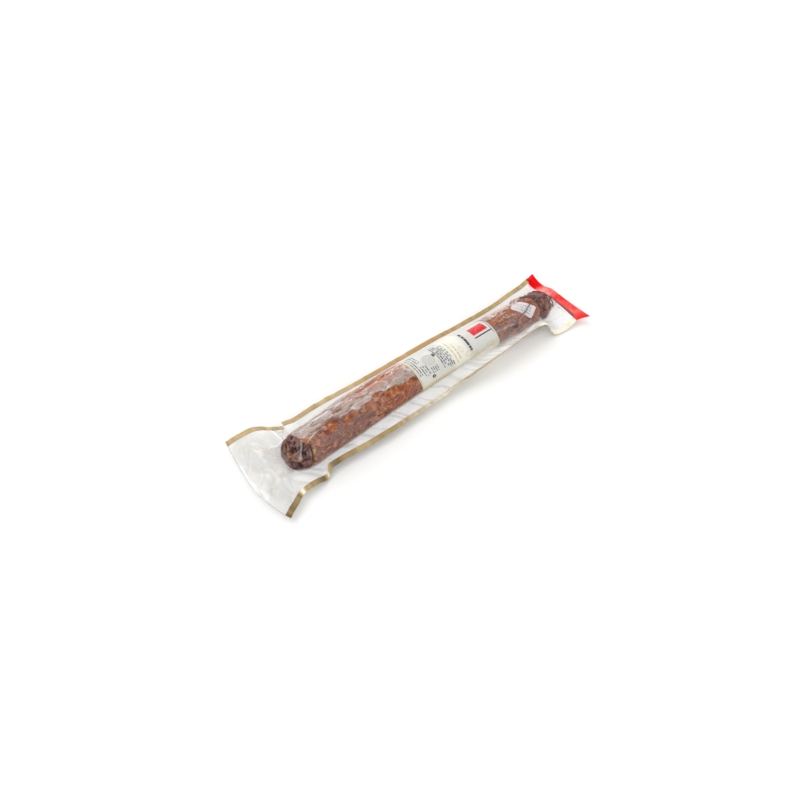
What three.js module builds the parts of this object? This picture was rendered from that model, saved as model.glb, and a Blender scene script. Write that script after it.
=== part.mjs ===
// Cured pork loin in a clear vacuum bag, lying on its belly.
// Millimetres, +Z up. X runs along the loin from the fanned end of the bag to its header,
// +Y is the back of the pack and -Y its front. Stations are places along X.

import * as THREE from 'three';

// Film and clearances. The film is drawn thicker than the real 0.1 mm laminate.
const FILM = 0.8;
const GAP = 0.3;
const FILM_CLEARANCE = 2.1;
const WEB_HALF_GAP = 0.2;
const WEB_TO_SEAM = 0.9;

// Loin
const LOIN_NEAR = -210;
const LOIN_FAR = 309;
const LOIN_DIAMETER = [
  [-210, 55], [-150, 57.6], [-95, 59.6], [0, 56.8], [110, 53.4], [200, 48.8], [270, 49.8], [309, 49],
];
const LOIN_BOW = [[-210, -6.5], [-173, -8], [-100, -3.2], [0, 2.5], [90, 3.8], [190, 3], [260, 0], [309, -1]];
const NEAR_DOME = 30;
const FAR_DOME = 21;
const DOME_POWER = 2.2;
const BELLY = 0.93;
const AROUND = 24;

// Gathered casing at the two ends: folds round the loin, how deep as a share of the radius,
// how far they wander from even spacing, and where along X they reach their full depth
const NEAR_FOLDS = { count: 9, depth: 0.13, wander: 0.8, waves: 2, start: -174, full: -210 };
const FAR_FOLDS = { count: 11, depth: 0.08, wander: 0.7, waves: 3, start: 275, full: 309 };
const FOLD_BIAS = 0.6;

// Slow and quick swells of the casing: their run along X, twist, waves round the loin and height
const SWELLS = [
  { run: 23, twist: 61, waves: 2, sway: 2, height: 0.4 },
  { run: 11, twist: -17, waves: 3, sway: 3, height: 0.24 },
];

// Cross-sections of the loin, as [start, end, step] along X, and the insets of its rounded tips
const LOIN_RUNS = [
  [-205, -180, 6.2], [-180, 262, 27], [262, 288, 3.7], [288, 304, 5.3],
];
const TIP_INSETS = [0.4, 2];

// String tied round the far end, and the loop that carries the tag
const STRING = 2.4;
const TIE_STATION = 275;
const TIE_SLANT = 2.5;
const TIE_GROOVE = 3;
const TIE_GROOVE_WIDTH = 5;
const TIE_REST = 0.8;
const TIE_FLOOR = 0.2;
const LOOP_LIFT = 3.6;
const LOOP_REST = 1.9;
const LOOP_LIFT_REACH = 17;
const LOOP_STEPS = 34;
const TIE_STEPS = 32;
const STRING_SIDES = 6;
const LOOP_ROUTE = [
  [217, 30], [220, 41], [226, 51], [234, 57], [245, 62], [253, 71], [263, 79], [273, 81], [281, 88],
  [279, 100], [272, 114], [262, 128], [250, 134], [242, 128],
];

// Label: a sleeve of paper round the middle of the loin, cut a little askew
const LABEL_NEAR = 19;
const LABEL_FAR = 179;
const LABEL_SKEW = -0.07;
const LABEL_SKEW_ANGLE = 60;
const LABEL_FROM = -75;
const LABEL_TO = 225;
const LABEL = 0.5;
const LABEL_ROWS = 8;

// Tag: a small card on the loin, set diagonally
const TAG_LENGTH = 38;
const TAG_WIDTH = 22;
const TAG = 0.6;
const TAG_STATION = 247;
const TAG_ANGLE = 78;
const TAG_TURN = -54;
const TAG_REST = 0.6;
const TAG_ROWS = 6;
const TAG_COLUMNS = 5;

// Bag: the outer edges of its two side seams, as [station, y, z]
const SEAM_WIDTH = 8;
const SEAM = 1.6;
const BACK_SEAM = [
  [-266, 73, 21], [-250, 75, 20], [-235, 75, 20], [-222, 73, 21], [-210, 67, 22], [-197, 58, 19],
  [-187, 53, 13], [-180, 51, 26], [-163, 46.5, 29], [-118, 48, 30], [-50, 47, 28], [20, 46, 30],
  [100, 46, 30], [150, 43.5, 31], [190, 43.5, 30], [230, 45.5, 29], [267, 48.5, 30], [300, 49, 33],
  [318, 50, 36], [337, 52, 38],
];
const FRONT_SEAM = [
  [-266, -81, 10], [-252, -73, 11], [-232, -65, 11], [-203, -60, 11], [-186, -59, 9], [-172, -59, 5],
  [-165, -55, 8], [-160, -50.5, 13], [-141, -50, 13], [-97, -52, 12], [-66, -52.5, 12], [0, -50, 13],
  [30, -49, 14], [80, -46.5, 17], [120, -47, 23], [160, -47, 30], [210, -43.5, 30.5], [245, -41.5, 32.5],
  [262, -43, 31], [270, -45, 28], [277, -51.5, 11], [284, -55, 3], [300, -58.5, 3.5], [318, -57, 10],
  [337, -67, 17],
];

// Fan: the flat near end of the bag, fading out over the given stations. Its edge leans back
// towards the two seams.
const FAN = [-250, -205];
const NEAR_EDGE_FRONT = 20;
const NEAR_EDGE_BACK = 4;
const FAN_SAG = -2;
const FAN_RIPPLE = { height: 1.2, across: 7, run: 9 };

// Header: the printed band across the far end of the bag, which lies flat from FLAT_FAR on,
// crowned between its seams and tucked down beside the back one
const HEADER_NEAR = 318;
const HEADER_WIDTH = 19;
const HEADER = 1.6;
const HEADER_SKEW = 12;
const HEADER_ROWS = 3;
const HEADER_COLUMNS = 16;
const FLAT_FAR = [284, 312];
const CROWN_AT_LOIN = 5;
const CROWN_AT_HEADER = -3;
const HEADER_TUCK = -7;
const HEADER_TUCK_SHARE = 0.34;

// Where the film is drawn onto the loin, and how it tents down to the flat ends beyond
const DRAWN = [-240, -200, 311, 317.6];
const NEAR_TENT = 20;
const NEAR_TENT_INSET = 3;
const FAR_TENT = 31;

// Where the film rises over the string and the tag: a range of stations and one of angles
const OVER_STRING = [196, 212, 294, 306];
const TOPSIDE = [0, 22, 144, 166];

// How far the front seam turns up out of its flange, in degrees, and where
const FRONT_CURL = 30;
const CURLED = [10, 90, 235, 262];

// Where the two webs of film leave the loin, in degrees either side of the line to the seam
const WEB_SPREAD = 14;
const THROAT = 2.5;
const THROAT_TAPER = 20;
const BACK_COLUMNS = 2;
const ARC_COLUMNS = 10;
const FRONT_COLUMNS = 3;

// Cross-sections of the bag, as [start, end, step] along X, and the last ones before the header
const BAG_RUNS = [
  [-266, -208, 12], [-208, -192, 5.4], [-192, -158, 6.8], [-158, 198, 36], [198, 262, 16],
  [262, 290, 5.6], [290, 306, 5.4],
];
const BAG_CLOSE = [306, 311, 315, HEADER_NEAR - GAP];

const rad = THREE.MathUtils.degToRad;
const deg = THREE.MathUtils.radToDeg;
const { clamp, lerp, smoothstep } = THREE.MathUtils;

// 1 inside a range and 0 outside it, given where the range starts, is full, fades and ends
const within = (value, [start, full, fade, end]) => (
  smoothstep(value, start, full) * (1 - smoothstep(value, fade, end))
);

// Places in equal steps of about the given size from start up to, but not at, end
function steps([start, end, size]) {
  const count = Math.round((end - start) / size);
  return Array.from({ length: count }, (_, i) => lerp(start, end, i / count));
}

// ---------------------------------------------------------------- curves through named points

// A smooth line through [station, value...] points that doesn't overshoot between them
function through(points, column = 1) {
  const x = points.map((point) => point[0]);
  const y = points.map((point) => point[column]);
  const rise = x.slice(1).map((_, i) => (y[i + 1] - y[i]) / (x[i + 1] - x[i]));
  const slope = x.map((_, i) => {
    if (i === 0) return rise[0];
    if (i === x.length - 1) return rise[i - 1];
    if (rise[i - 1] * rise[i] <= 0) return 0;
    return (2 * rise[i - 1] * rise[i]) / (rise[i - 1] + rise[i]);
  });
  return (at) => {
    const s = clamp(at, x[0], x[x.length - 1]);
    let i = 0;
    while (i < x.length - 2 && s > x[i + 1]) i += 1;
    const h = x[i + 1] - x[i];
    const t = (s - x[i]) / h;
    const left = y[i] * (1 + 2 * t) + h * slope[i] * t;
    const right = y[i + 1] * (3 - 2 * t) + h * slope[i + 1] * (t - 1);
    return left * (1 - t) ** 2 + right * t ** 2;
  };
}

const diameter = through(LOIN_DIAMETER);
const bow = through(LOIN_BOW);
const seams = [BACK_SEAM, FRONT_SEAM].map((points) => ({ y: through(points, 1), z: through(points, 2) }));

// ---------------------------------------------------------------- the loin's surface

const bodyRadius = (s) => diameter(s) / 2;
const axisHeight = (s) => BELLY * bodyRadius(s) + FILM + GAP;

// 0 at a rounded end's tip, 1 where the full section starts
function dome(depth, length) {
  const t = clamp(depth / length, 0, 1);
  return (1 - (1 - t) ** DOME_POWER) ** (1 / DOME_POWER);
}

const endShape = (s) => dome(s - LOIN_NEAR, NEAR_DOME) * dome(LOIN_FAR - s, FAR_DOME);

// Gathered casing: folds that start where the end rounds over and deepen to the tip
function folds(s, angle, { count, depth, wander, waves, start, full }) {
  const share = smoothstep((s - start) / (full - start), 0, 1);
  const a = rad(angle);
  return depth * share * (Math.cos(count * a + wander * Math.sin(waves * a)) - FOLD_BIAS);
}

function swells(s, angle) {
  const a = rad(angle);
  return SWELLS.reduce((sum, { run, twist, waves, sway, height }) => (
    sum + height * Math.sin(s / run + sway * Math.cos(a)) * Math.cos(waves * a + s / twist)
  ), 0);
}

const tieStation = (angle) => TIE_STATION + TIE_SLANT * Math.sin(rad(angle));
const groove = (s, angle) => Math.exp(-(((s - tieStation(angle)) / TIE_GROOVE_WIDTH) ** 2));

// Radius of the loin without its end folds, groove and end rounding
const fullRadius = (s, angle) => bodyRadius(s) + swells(s, angle);

function loinRadius(s, angle) {
  const gathered = 1 + folds(s, angle, NEAR_FOLDS) + folds(s, angle, FAR_FOLDS);
  return (fullRadius(s, angle) * gathered - TIE_GROOVE * groove(s, angle)) * endShape(s);
}

// A point at a radius round the loin's axis. Angle 0 looks to the front, 90 up, 180 to the back.
function aroundLoin(s, angle, radius, floor) {
  const y = bow(s) - radius * Math.cos(rad(angle));
  const z = axisHeight(s) + radius * Math.sin(rad(angle));
  return new THREE.Vector3(s, y, Math.max(z, floor));
}

const onLoin = (s, angle, lift) => aroundLoin(s, angle, fullRadius(s, angle) + lift, FILM + GAP);

// ---------------------------------------------------------------- closed meshes from grids

const triangle = (list, a, b, c) => list.push(...a.toArray(), ...b.toArray(), ...c.toArray());

function quad(list, a, b, c, d) {
  triangle(list, a, b, c);
  triangle(list, a, c, d);
}

function finish(list) {
  const geometry = new THREE.BufferGeometry();
  geometry.setAttribute('position', new THREE.Float32BufferAttribute(list, 3));
  geometry.computeVertexNormals();
  return geometry;
}

// A plate between two grids of points, rows along +X and columns towards -Y, upper above lower
function plate(upper, lower) {
  const list = [];
  const rows = upper.length - 1;
  const columns = upper[0].length - 1;
  for (let i = 0; i < rows; i += 1) {
    for (let j = 0; j < columns; j += 1) {
      quad(list, upper[i][j], upper[i][j + 1], upper[i + 1][j + 1], upper[i + 1][j]);
      quad(list, lower[i][j], lower[i + 1][j], lower[i + 1][j + 1], lower[i][j + 1]);
    }
    quad(list, upper[i][0], upper[i + 1][0], lower[i + 1][0], lower[i][0]);
    quad(list, upper[i + 1][columns], upper[i][columns], lower[i][columns], lower[i + 1][columns]);
  }
  for (let j = 0; j < columns; j += 1) {
    quad(list, upper[0][j + 1], upper[0][j], lower[0][j], lower[0][j + 1]);
    quad(list, upper[rows][j], upper[rows][j + 1], lower[rows][j + 1], lower[rows][j]);
  }
  return finish(list);
}

// A tube through rings of points that run the same way round, with capped or joined ends
function loft(rings, joined = false) {
  const list = [];
  const sides = rings[0].length;
  const last = joined ? rings.length : rings.length - 1;
  for (let i = 0; i < last; i += 1) {
    const here = rings[i];
    const next = rings[(i + 1) % rings.length];
    for (let j = 0; j < sides; j += 1) {
      const k = (j + 1) % sides;
      quad(list, here[j], here[k], next[k], next[j]);
    }
  }
  if (!joined) {
    const middle = (ring) => ring.reduce((sum, p) => sum.add(p), new THREE.Vector3()).divideScalar(sides);
    const first = rings[0];
    const end = rings[rings.length - 1];
    for (let j = 0; j < sides; j += 1) {
      const k = (j + 1) % sides;
      triangle(list, middle(first), first[k], first[j]);
      triangle(list, middle(end), end[j], end[k]);
    }
  }
  return finish(list);
}

// String along a curve, open or joined end to end
function stringTube(curve, count, joined) {
  const frames = curve.computeFrenetFrames(count, joined);
  const radius = STRING / 2;
  const rings = [];
  for (let i = 0; i < (joined ? count : count + 1); i += 1) {
    const centre = curve.getPointAt(i / count);
    const ring = [];
    for (let j = 0; j < STRING_SIDES; j += 1) {
      const a = (2 * Math.PI * j) / STRING_SIDES;
      const across = frames.normals[i].clone().multiplyScalar(Math.cos(a) * radius);
      const over = frames.binormals[i].clone().multiplyScalar(Math.sin(a) * radius);
      ring.push(centre.clone().add(across).add(over));
    }
    rings.push(ring);
  }
  return loft(rings, joined);
}

// ---------------------------------------------------------------- contents

function loinGeometry() {
  const stations = [
    ...TIP_INSETS.map((inset) => LOIN_NEAR + inset),
    ...LOIN_RUNS.flatMap(steps), LOIN_RUNS[LOIN_RUNS.length - 1][1],
    ...TIP_INSETS.toReversed().map((inset) => LOIN_FAR - inset),
  ];
  const rings = stations.map((s) => {
    const floor = FILM + GAP + TIE_GROOVE * groove(s, -90) * endShape(s);
    const ring = [];
    for (let j = 0; j < AROUND; j += 1) {
      const angle = -(360 * j) / AROUND;
      ring.push(aroundLoin(s, angle, loinRadius(s, angle), floor));
    }
    return ring;
  });
  return loft(rings);
}

function labelGeometry() {
  const sheet = (lift) => {
    const rows = [];
    for (let i = 0; i <= LABEL_ROWS; i += 1) {
      const row = [];
      for (let angle = LABEL_TO; angle >= LABEL_FROM; angle -= 360 / AROUND) {
        const square = lerp(LABEL_NEAR, LABEL_FAR, i / LABEL_ROWS);
        const s = square + LABEL_SKEW * (angle - LABEL_SKEW_ANGLE);
        row.push(aroundLoin(s, angle, fullRadius(s, angle) + lift, FILM + 2 * GAP + lift));
      }
      rows.push(row);
    }
    return rows;
  };
  return plate(sheet(GAP + LABEL), sheet(GAP));
}

function tagGeometry() {
  const turn = rad(TAG_TURN);
  const reach = bodyRadius(TAG_STATION);
  const sheet = (lift) => {
    const rows = [];
    for (let i = 0; i <= TAG_ROWS; i += 1) {
      const row = [];
      for (let j = 0; j <= TAG_COLUMNS; j += 1) {
        const along = TAG_LENGTH * (i / TAG_ROWS - 0.5);
        const across = TAG_WIDTH * (0.5 - j / TAG_COLUMNS);
        const s = TAG_STATION + along * Math.cos(turn) - across * Math.sin(turn);
        const arc = along * Math.sin(turn) + across * Math.cos(turn);
        row.push(onLoin(s, TAG_ANGLE + deg(arc / reach), lift));
      }
      rows.push(row);
    }
    return rows;
  };
  return plate(sheet(TAG_REST + TAG), sheet(TAG_REST));
}

function loopGeometry() {
  const points = LOOP_ROUTE.map(([s, angle]) => {
    const overTag = Math.exp(-(((s - TAG_STATION) / LOOP_LIFT_REACH) ** 4));
    return onLoin(s, angle, lerp(LOOP_REST, LOOP_LIFT, overTag));
  });
  return stringTube(new THREE.CatmullRomCurve3(points), LOOP_STEPS, false);
}

function tieGeometry() {
  const points = [];
  for (let j = 0; j < AROUND; j += 1) {
    const angle = (360 * j) / AROUND;
    const s = tieStation(angle);
    const radius = fullRadius(s, angle) - TIE_GROOVE + STRING / 2 + TIE_REST;
    points.push(aroundLoin(s, angle, radius, FILM + GAP + STRING / 2 + TIE_FLOOR));
  }
  return stringTube(new THREE.CatmullRomCurve3(points, true), TIE_STEPS, true);
}

// ---------------------------------------------------------------- the bag

// A place on the bag when it lies flat: q runs from the back seam (0) to the front seam (1)
function flatPoint(s, q) {
  const [back, front] = seams;
  const nearness = 1 - smoothstep(s, ...FAN);
  const farness = smoothstep(s, ...FLAT_FAR);
  const v = 1 - 2 * q;
  const nearEdge = (v < 0 ? NEAR_EDGE_FRONT : NEAR_EDGE_BACK) * v * v * nearness;
  const hump = Math.sin(Math.PI * q);
  const crown = lerp(CROWN_AT_LOIN, CROWN_AT_HEADER, smoothstep(s, FLAT_FAR[1], HEADER_NEAR + HEADER_WIDTH));
  const tuck = HEADER_TUCK * Math.sin(Math.PI * clamp(q / HEADER_TUCK_SHARE, 0, 1));
  const ripple = FAN_RIPPLE.height * hump * Math.sin(FAN_RIPPLE.across * q + s / FAN_RIPPLE.run);
  const rise = nearness * (FAN_SAG * hump + ripple) + farness * (crown * hump + tuck);
  const x = s + nearEdge - HEADER_SKEW * v * farness;
  const z = lerp(back.z(s), front.z(s), q) + rise;
  return new THREE.Vector3(x, lerp(back.y(s), front.y(s), q), z);
}

// How far the film stands from the loin's axis
function webRadius(s, angle) {
  const near = s < LOIN_NEAR + NEAR_DOME;
  const nearEnd = dome(s - LOIN_NEAR + NEAR_TENT_INSET, NEAR_DOME + NEAR_TENT_INSET);
  const farEnd = dome(DRAWN[3] - s, FAR_TENT);
  const swell = (bodyRadius(s) + FILM_CLEARANCE) * (near ? nearEnd : farEnd);
  const tent = near ? NEAR_TENT * smoothstep(s, DRAWN[0], DRAWN[1]) : 0;
  return Math.max(swell, tent) + LOOP_LIFT * within(s, OVER_STRING) * within(angle, TOPSIDE);
}

// Bearing of a point from the loin's axis, from 0 at the front through 90 on top to 270 below
function bearing(s, point) {
  const angle = deg(Math.atan2(point.z - axisHeight(s), bow(s) - point.y));
  return angle < -90 ? angle + 360 : angle;
}

// Where the two webs part on their way from a seam (k 0 back, 1 front) to the loin
function throat(s, k) {
  const edge = flatPoint(s, k);
  const angle = bearing(s, edge);
  const radius = webRadius(s, angle);
  const taper = Math.min(1, radius / THROAT_TAPER);
  return { angle, point: aroundLoin(s, angle, radius + THROAT * taper, 0) };
}

// A point of the bag a given distance in from a side seam's outer edge, towards the loin
function fromEdge(s, k, distance) {
  const edge = flatPoint(s, k);
  const across = flatPoint(s, 1 - k).sub(edge);
  const width = Math.hypot(across.y, across.z);
  const drawn = within(s, DRAWN);
  const inward = throat(s, k).point.sub(edge);
  inward.divideScalar(Math.hypot(inward.y, inward.z)).multiplyScalar(drawn);
  inward.addScaledVector(across, (1 - drawn) / width);
  inward.x = 0;
  const curl = k === 0 ? 0 : FRONT_CURL * within(s, CURLED);
  inward.applyAxisAngle(new THREE.Vector3(1, 0, 0), -rad(curl));
  const point = edge.addScaledVector(inward.normalize(), distance);
  const share = distance / width;
  point.x = flatPoint(s, k === 0 ? share : 1 - share).x;
  return { point, share };
}

// One crossing of the bag by the upper (side 1) or lower (side -1) web, from back to front
function webPath(s, side) {
  const throats = [throat(s, 0), throat(s, 1)];
  const ends = [fromEdge(s, 0, SEAM_WIDTH + WEB_TO_SEAM), fromEdge(s, 1, SEAM_WIDTH + WEB_TO_SEAM)];
  const path = [];
  for (let i = 0; i < BACK_COLUMNS; i += 1) {
    path.push(ends[0].point.clone().lerp(throats[0].point, i / (BACK_COLUMNS - 1)));
  }
  const from = throats[0].angle - side * WEB_SPREAD;
  const to = throats[1].angle + side * WEB_SPREAD + (side > 0 ? 0 : 360);
  for (let i = 0; i <= ARC_COLUMNS; i += 1) {
    const angle = lerp(from, to, i / ARC_COLUMNS);
    const unwound = angle > 270 ? angle - 360 : angle;
    path.push(aroundLoin(s, unwound, webRadius(s, unwound), FILM + WEB_HALF_GAP));
  }
  for (let i = FRONT_COLUMNS - 1; i >= 0; i -= 1) {
    path.push(ends[1].point.clone().lerp(throats[1].point, i / (FRONT_COLUMNS - 1)));
  }
  return path.map((point, i) => {
    const flat = flatPoint(s, lerp(ends[0].share, 1 - ends[1].share, i / (path.length - 1)));
    point.x = flat.x;
    const settled = flat.lerp(point, within(s, DRAWN));
    settled.z += side * WEB_HALF_GAP;
    return settled;
  });
}

// A path across the bag moved off its own line by a distance, and never below the ground
function offset(path, distance) {
  return path.map((point, i) => {
    const before = path[Math.max(i - 1, 0)];
    const after = path[Math.min(i + 1, path.length - 1)];
    const run = new THREE.Vector2(before.y - after.y, after.z - before.z).normalize();
    return new THREE.Vector3(point.x, point.y + distance * run.y, Math.max(point.z + distance * run.x, 0));
  });
}

const bagStations = [...BAG_RUNS.flatMap(steps), ...BAG_CLOSE];

function webGeometry(side) {
  const inner = bagStations.map((s) => webPath(s, side));
  const outer = inner.map((path) => offset(path, side * FILM));
  return side > 0 ? plate(outer, inner) : plate(inner, outer);
}

// A side seam: the outer strip where the two webs are welded together
function seamGeometry(k) {
  const strips = bagStations.map((s) => {
    const strip = [flatPoint(s, k), fromEdge(s, k, SEAM_WIDTH).point];
    return k === 0 ? strip : strip.reverse();
  });
  const face = (lift) => strips.map((strip) => offset(strip, lift));
  return plate(face(SEAM / 2), face(-SEAM / 2));
}

function headerGeometry() {
  const crossings = [];
  for (let i = 0; i <= HEADER_ROWS; i += 1) {
    const s = HEADER_NEAR + (HEADER_WIDTH * i) / HEADER_ROWS;
    crossings.push(Array.from({ length: HEADER_COLUMNS + 1 }, (_, j) => flatPoint(s, j / HEADER_COLUMNS)));
  }
  const face = (lift) => crossings.map((crossing) => offset(crossing, lift));
  return plate(face(HEADER / 2), face(-HEADER / 2));
}

// ---------------------------------------------------------------- materials and assembly

const standard = (color, roughness, extra = {}) => (
  new THREE.MeshStandardMaterial({ color, roughness, metalness: 0, ...extra })
);
const clearFilm = () => standard(0xe9eaec, 0.15, { transparent: true, opacity: 0.3 });

const pieces = [
  ['loin', loinGeometry(), standard(0x7c3f2a, 0.45)],
  ['label', labelGeometry(), standard(0xe9e6da, 0.5)],
  ['tag', tagGeometry(), standard(0xf0efec, 0.6)],
  ['string_loop', loopGeometry(), standard(0x49303a, 0.8)],
  ['string_tie', tieGeometry(), standard(0x3a2a2c, 0.8)],
  ['film_top', webGeometry(1), clearFilm()],
  ['film_base', webGeometry(-1), clearFilm()],
  ['seam_back', seamGeometry(0), standard(0xb59a5a, 0.35)],
  ['seam_front', seamGeometry(1), standard(0xb59a5a, 0.35)],
  ['header_band', headerGeometry(), standard(0xe02424, 0.35)],
];

const group = new THREE.Group();
pieces.forEach(([name, geometry, material]) => {
  const mesh = new THREE.Mesh(geometry, material);
  mesh.name = name;
  group.add(mesh);
});

// The row's origin is the middle of the pack's footprint, on the surface it lies on
const bounds = new THREE.Box3().setFromObject(group);
group.position.set(-(bounds.min.x + bounds.max.x) / 2, -(bounds.min.y + bounds.max.y) / 2, -bounds.min.z);

export default group;
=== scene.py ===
# Cured pork loin in a clear vacuum bag: the looks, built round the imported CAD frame.
#
# Every shape is drawn in millimetres in the part's own drawing, where X runs along the loin,
# and place() moves it into the row's frame in metres. An angle round the loin is 0 at the
# front (-Y), 90 on top and 180 at the back. A station is a place along X.

import math

import bpy
import numpy as np
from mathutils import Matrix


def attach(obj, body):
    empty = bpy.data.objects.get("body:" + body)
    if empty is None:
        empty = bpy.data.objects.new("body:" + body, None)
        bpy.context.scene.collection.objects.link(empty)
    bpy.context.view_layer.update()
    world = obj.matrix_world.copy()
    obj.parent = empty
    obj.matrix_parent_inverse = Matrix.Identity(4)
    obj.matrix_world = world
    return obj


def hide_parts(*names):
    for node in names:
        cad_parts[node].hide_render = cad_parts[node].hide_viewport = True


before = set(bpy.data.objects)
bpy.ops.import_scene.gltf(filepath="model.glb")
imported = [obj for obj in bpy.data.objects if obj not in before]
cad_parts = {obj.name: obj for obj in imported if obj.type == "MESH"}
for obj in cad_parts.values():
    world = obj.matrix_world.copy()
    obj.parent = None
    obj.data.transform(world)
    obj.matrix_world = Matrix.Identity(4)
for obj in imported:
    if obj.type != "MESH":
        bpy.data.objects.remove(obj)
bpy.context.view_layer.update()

# Where the row's origin lies in the drawing
DRAWN_ORIGIN = np.array([41.507, -3.004, 0.0])
MM = 0.001

# Loin
LOIN_NEAR = -210
LOIN_FAR = 309
LOIN_DIAMETER = [
    (-210, 55), (-150, 57.6), (-95, 59.6), (0, 56.8), (110, 53.4), (200, 48.8), (270, 49.8), (309, 49),
]
LOIN_BOW = [
    (-210, -6.5), (-173, -8), (-100, -3.2), (0, 2.5), (90, 3.8), (190, 3), (260, 0), (309, -1),
]
NEAR_DOME = 30
FAR_DOME = 21
DOME_POWER = 2.2
BELLY = 0.93
AXIS_LIFT = 1.1
SWELLS = [
    dict(run=23, twist=61, waves=2, sway=2, height=0.4),
    dict(run=11, twist=-17, waves=3, sway=3, height=0.24),
]

# String and tag
STRING = 2.4
TIE_STATION = 275
TIE_SLANT = 2.5
TIE_GROOVE = 3
TIE_GROOVE_WIDTH = 5
LOOP_LIFT = 3.2
LOOP_REST = 1.5
LOOP_LIFT_REACH = 17
LOOP_ROUTE = [
    (217, 30), (220, 41), (226, 51), (234, 57), (245, 62), (253, 71), (263, 79), (273, 81), (281, 88),
    (279, 100), (272, 114), (262, 128), (250, 134), (242, 128),
]
TAG_LENGTH = 38
TAG_WIDTH = 22
TAG_STATION = 247
TAG_ANGLE = 78
TAG_TURN = -54
TAG_REST = 0.6
TAG = 0.4

# Label
LABEL_NEAR = 19
LABEL_FAR = 179
LABEL_SKEW = -0.07
LABEL_SKEW_ANGLE = 60
LABEL_FROM = -75
LABEL_TO = 225
LABEL_REST = 0.3
LABEL = 0.25

# Bag: the outer edges of its two side seams, as (station, y, z)
SEAM_WIDTH = 8
BACK_SEAM = [
    (-266, 73, 21), (-250, 75, 20), (-235, 75, 20), (-222, 73, 21), (-210, 67, 22), (-197, 58, 19),
    (-187, 53, 13), (-180, 51, 26), (-163, 46.5, 29), (-118, 48, 30), (-50, 47, 28), (20, 46, 30),
    (100, 46, 30), (150, 43.5, 31), (190, 43.5, 30), (230, 45.5, 29), (267, 48.5, 30), (300, 49, 33),
    (318, 50, 36), (337, 52, 38),
]
FRONT_SEAM = [
    (-266, -81, 10), (-252, -73, 11), (-232, -65, 11), (-203, -60, 11), (-186, -59, 9), (-172, -59, 5),
    (-165, -55, 8), (-160, -50.5, 13), (-141, -50, 13), (-97, -52, 12), (-66, -52.5, 12), (0, -50, 13),
    (30, -49, 14), (80, -46.5, 17), (120, -47, 23), (160, -47, 30), (210, -43.5, 30.5), (245, -41.5, 32.5),
    (262, -43, 31), (270, -45, 28), (277, -51.5, 11), (284, -55, 3), (300, -58.5, 3.5), (318, -57, 10),
    (337, -67, 17),
]
BAG_NEAR = -266
FAN = (-250, -205)
NEAR_EDGE_FRONT = 20
NEAR_EDGE_BACK = 4
FAN_SAG = -2
FAN_RIPPLE = dict(height=1.2, across=7, run=9)
HEADER_NEAR = 318
HEADER_WIDTH = 19
HEADER_SKEW = 12
FLAT_FAR = (284, 312)
CROWN_AT_LOIN = 5
CROWN_AT_HEADER = -3
HEADER_TUCK = -7
HEADER_TUCK_SHARE = 0.34
DRAWN = (-240, -200, 311, 317.6)
NEAR_TENT = 20
NEAR_TENT_INSET = 3
FAR_TENT = 31
# The front seam curls up out of its flange, by degrees over these stations. It curls further,
# and from nearer the fan, than in the CAD solid
FRONT_CURL = 46
CURLED = (-110, 50, 235, 262)
WEB_SPREAD = 14
THROAT = 2
THROAT_TAPER = 20
FILM_REST = 0.35
FILM_FLOOR = 0.05

# Camera, as found from the photograph, which is 800 pixels square: its focal length in pixels,
# its place in the drawing, its heading from +X towards +Y and how far it looks down
PHOTO_SIDE = 800
FOCAL_PIXELS = 622
CAMERA_PLACE = (-344.9, -460.6, 785.5)
CAMERA_HEADING = 53.29
CAMERA_PITCH = 54.13
SENSOR = 36


# ---------------------------------------------------------------- numbers and curves

def smoothstep(value, low, high):
    t = np.clip((value - low) / (high - low), 0, 1)
    return t * t * (3 - 2 * t)


def within(value, span):
    """1 inside a range and 0 outside it, given where it starts, is full, fades and ends."""
    start, full, fade, end = span
    return smoothstep(value, start, full) * (1 - smoothstep(value, fade, end))


def mix(a, b, share):
    return a + (b - a) * share


def through(points, column=1):
    """A smooth line through (station, value...) points that doesn't overshoot between them."""
    x = np.array([point[0] for point in points], float)
    y = np.array([point[column] for point in points], float)
    rise = np.diff(y) / np.diff(x)
    slope = np.zeros_like(y)
    slope[0] = rise[0]
    slope[-1] = rise[-1]
    same_way = rise[:-1] * rise[1:] > 0
    total = np.where(same_way, rise[:-1] + rise[1:], 1)
    slope[1:-1] = np.where(same_way, 2 * rise[:-1] * rise[1:] / total, 0)

    def curve(at):
        s = np.clip(at, x[0], x[-1])
        i = np.clip(np.searchsorted(x, s, side="right") - 1, 0, len(x) - 2)
        h = x[i + 1] - x[i]
        t = (s - x[i]) / h
        left = y[i] * (1 + 2 * t) + h * slope[i] * t
        right = y[i + 1] * (3 - 2 * t) + h * slope[i + 1] * (t - 1)
        return left * (1 - t) ** 2 + right * t ** 2

    return curve


def catmull(points, steps):
    """A smooth line through points, with the given number of steps between two of them."""
    p = np.array(points, float)
    p = np.vstack([2 * p[0] - p[1], p, 2 * p[-1] - p[-2]])
    t = np.linspace(0, 1, steps, endpoint=False)[:, None]
    runs = []
    for a, b, c, d in zip(p[:-3], p[1:-2], p[2:-1], p[3:]):
        square = 2 * a - 5 * b + 4 * c - d
        cube = 3 * b - a - 3 * c + d
        runs.append(0.5 * (2 * b + (c - a) * t + square * t ** 2 + cube * t ** 3))
    return np.vstack(runs + [p[-2:-1]])


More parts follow.
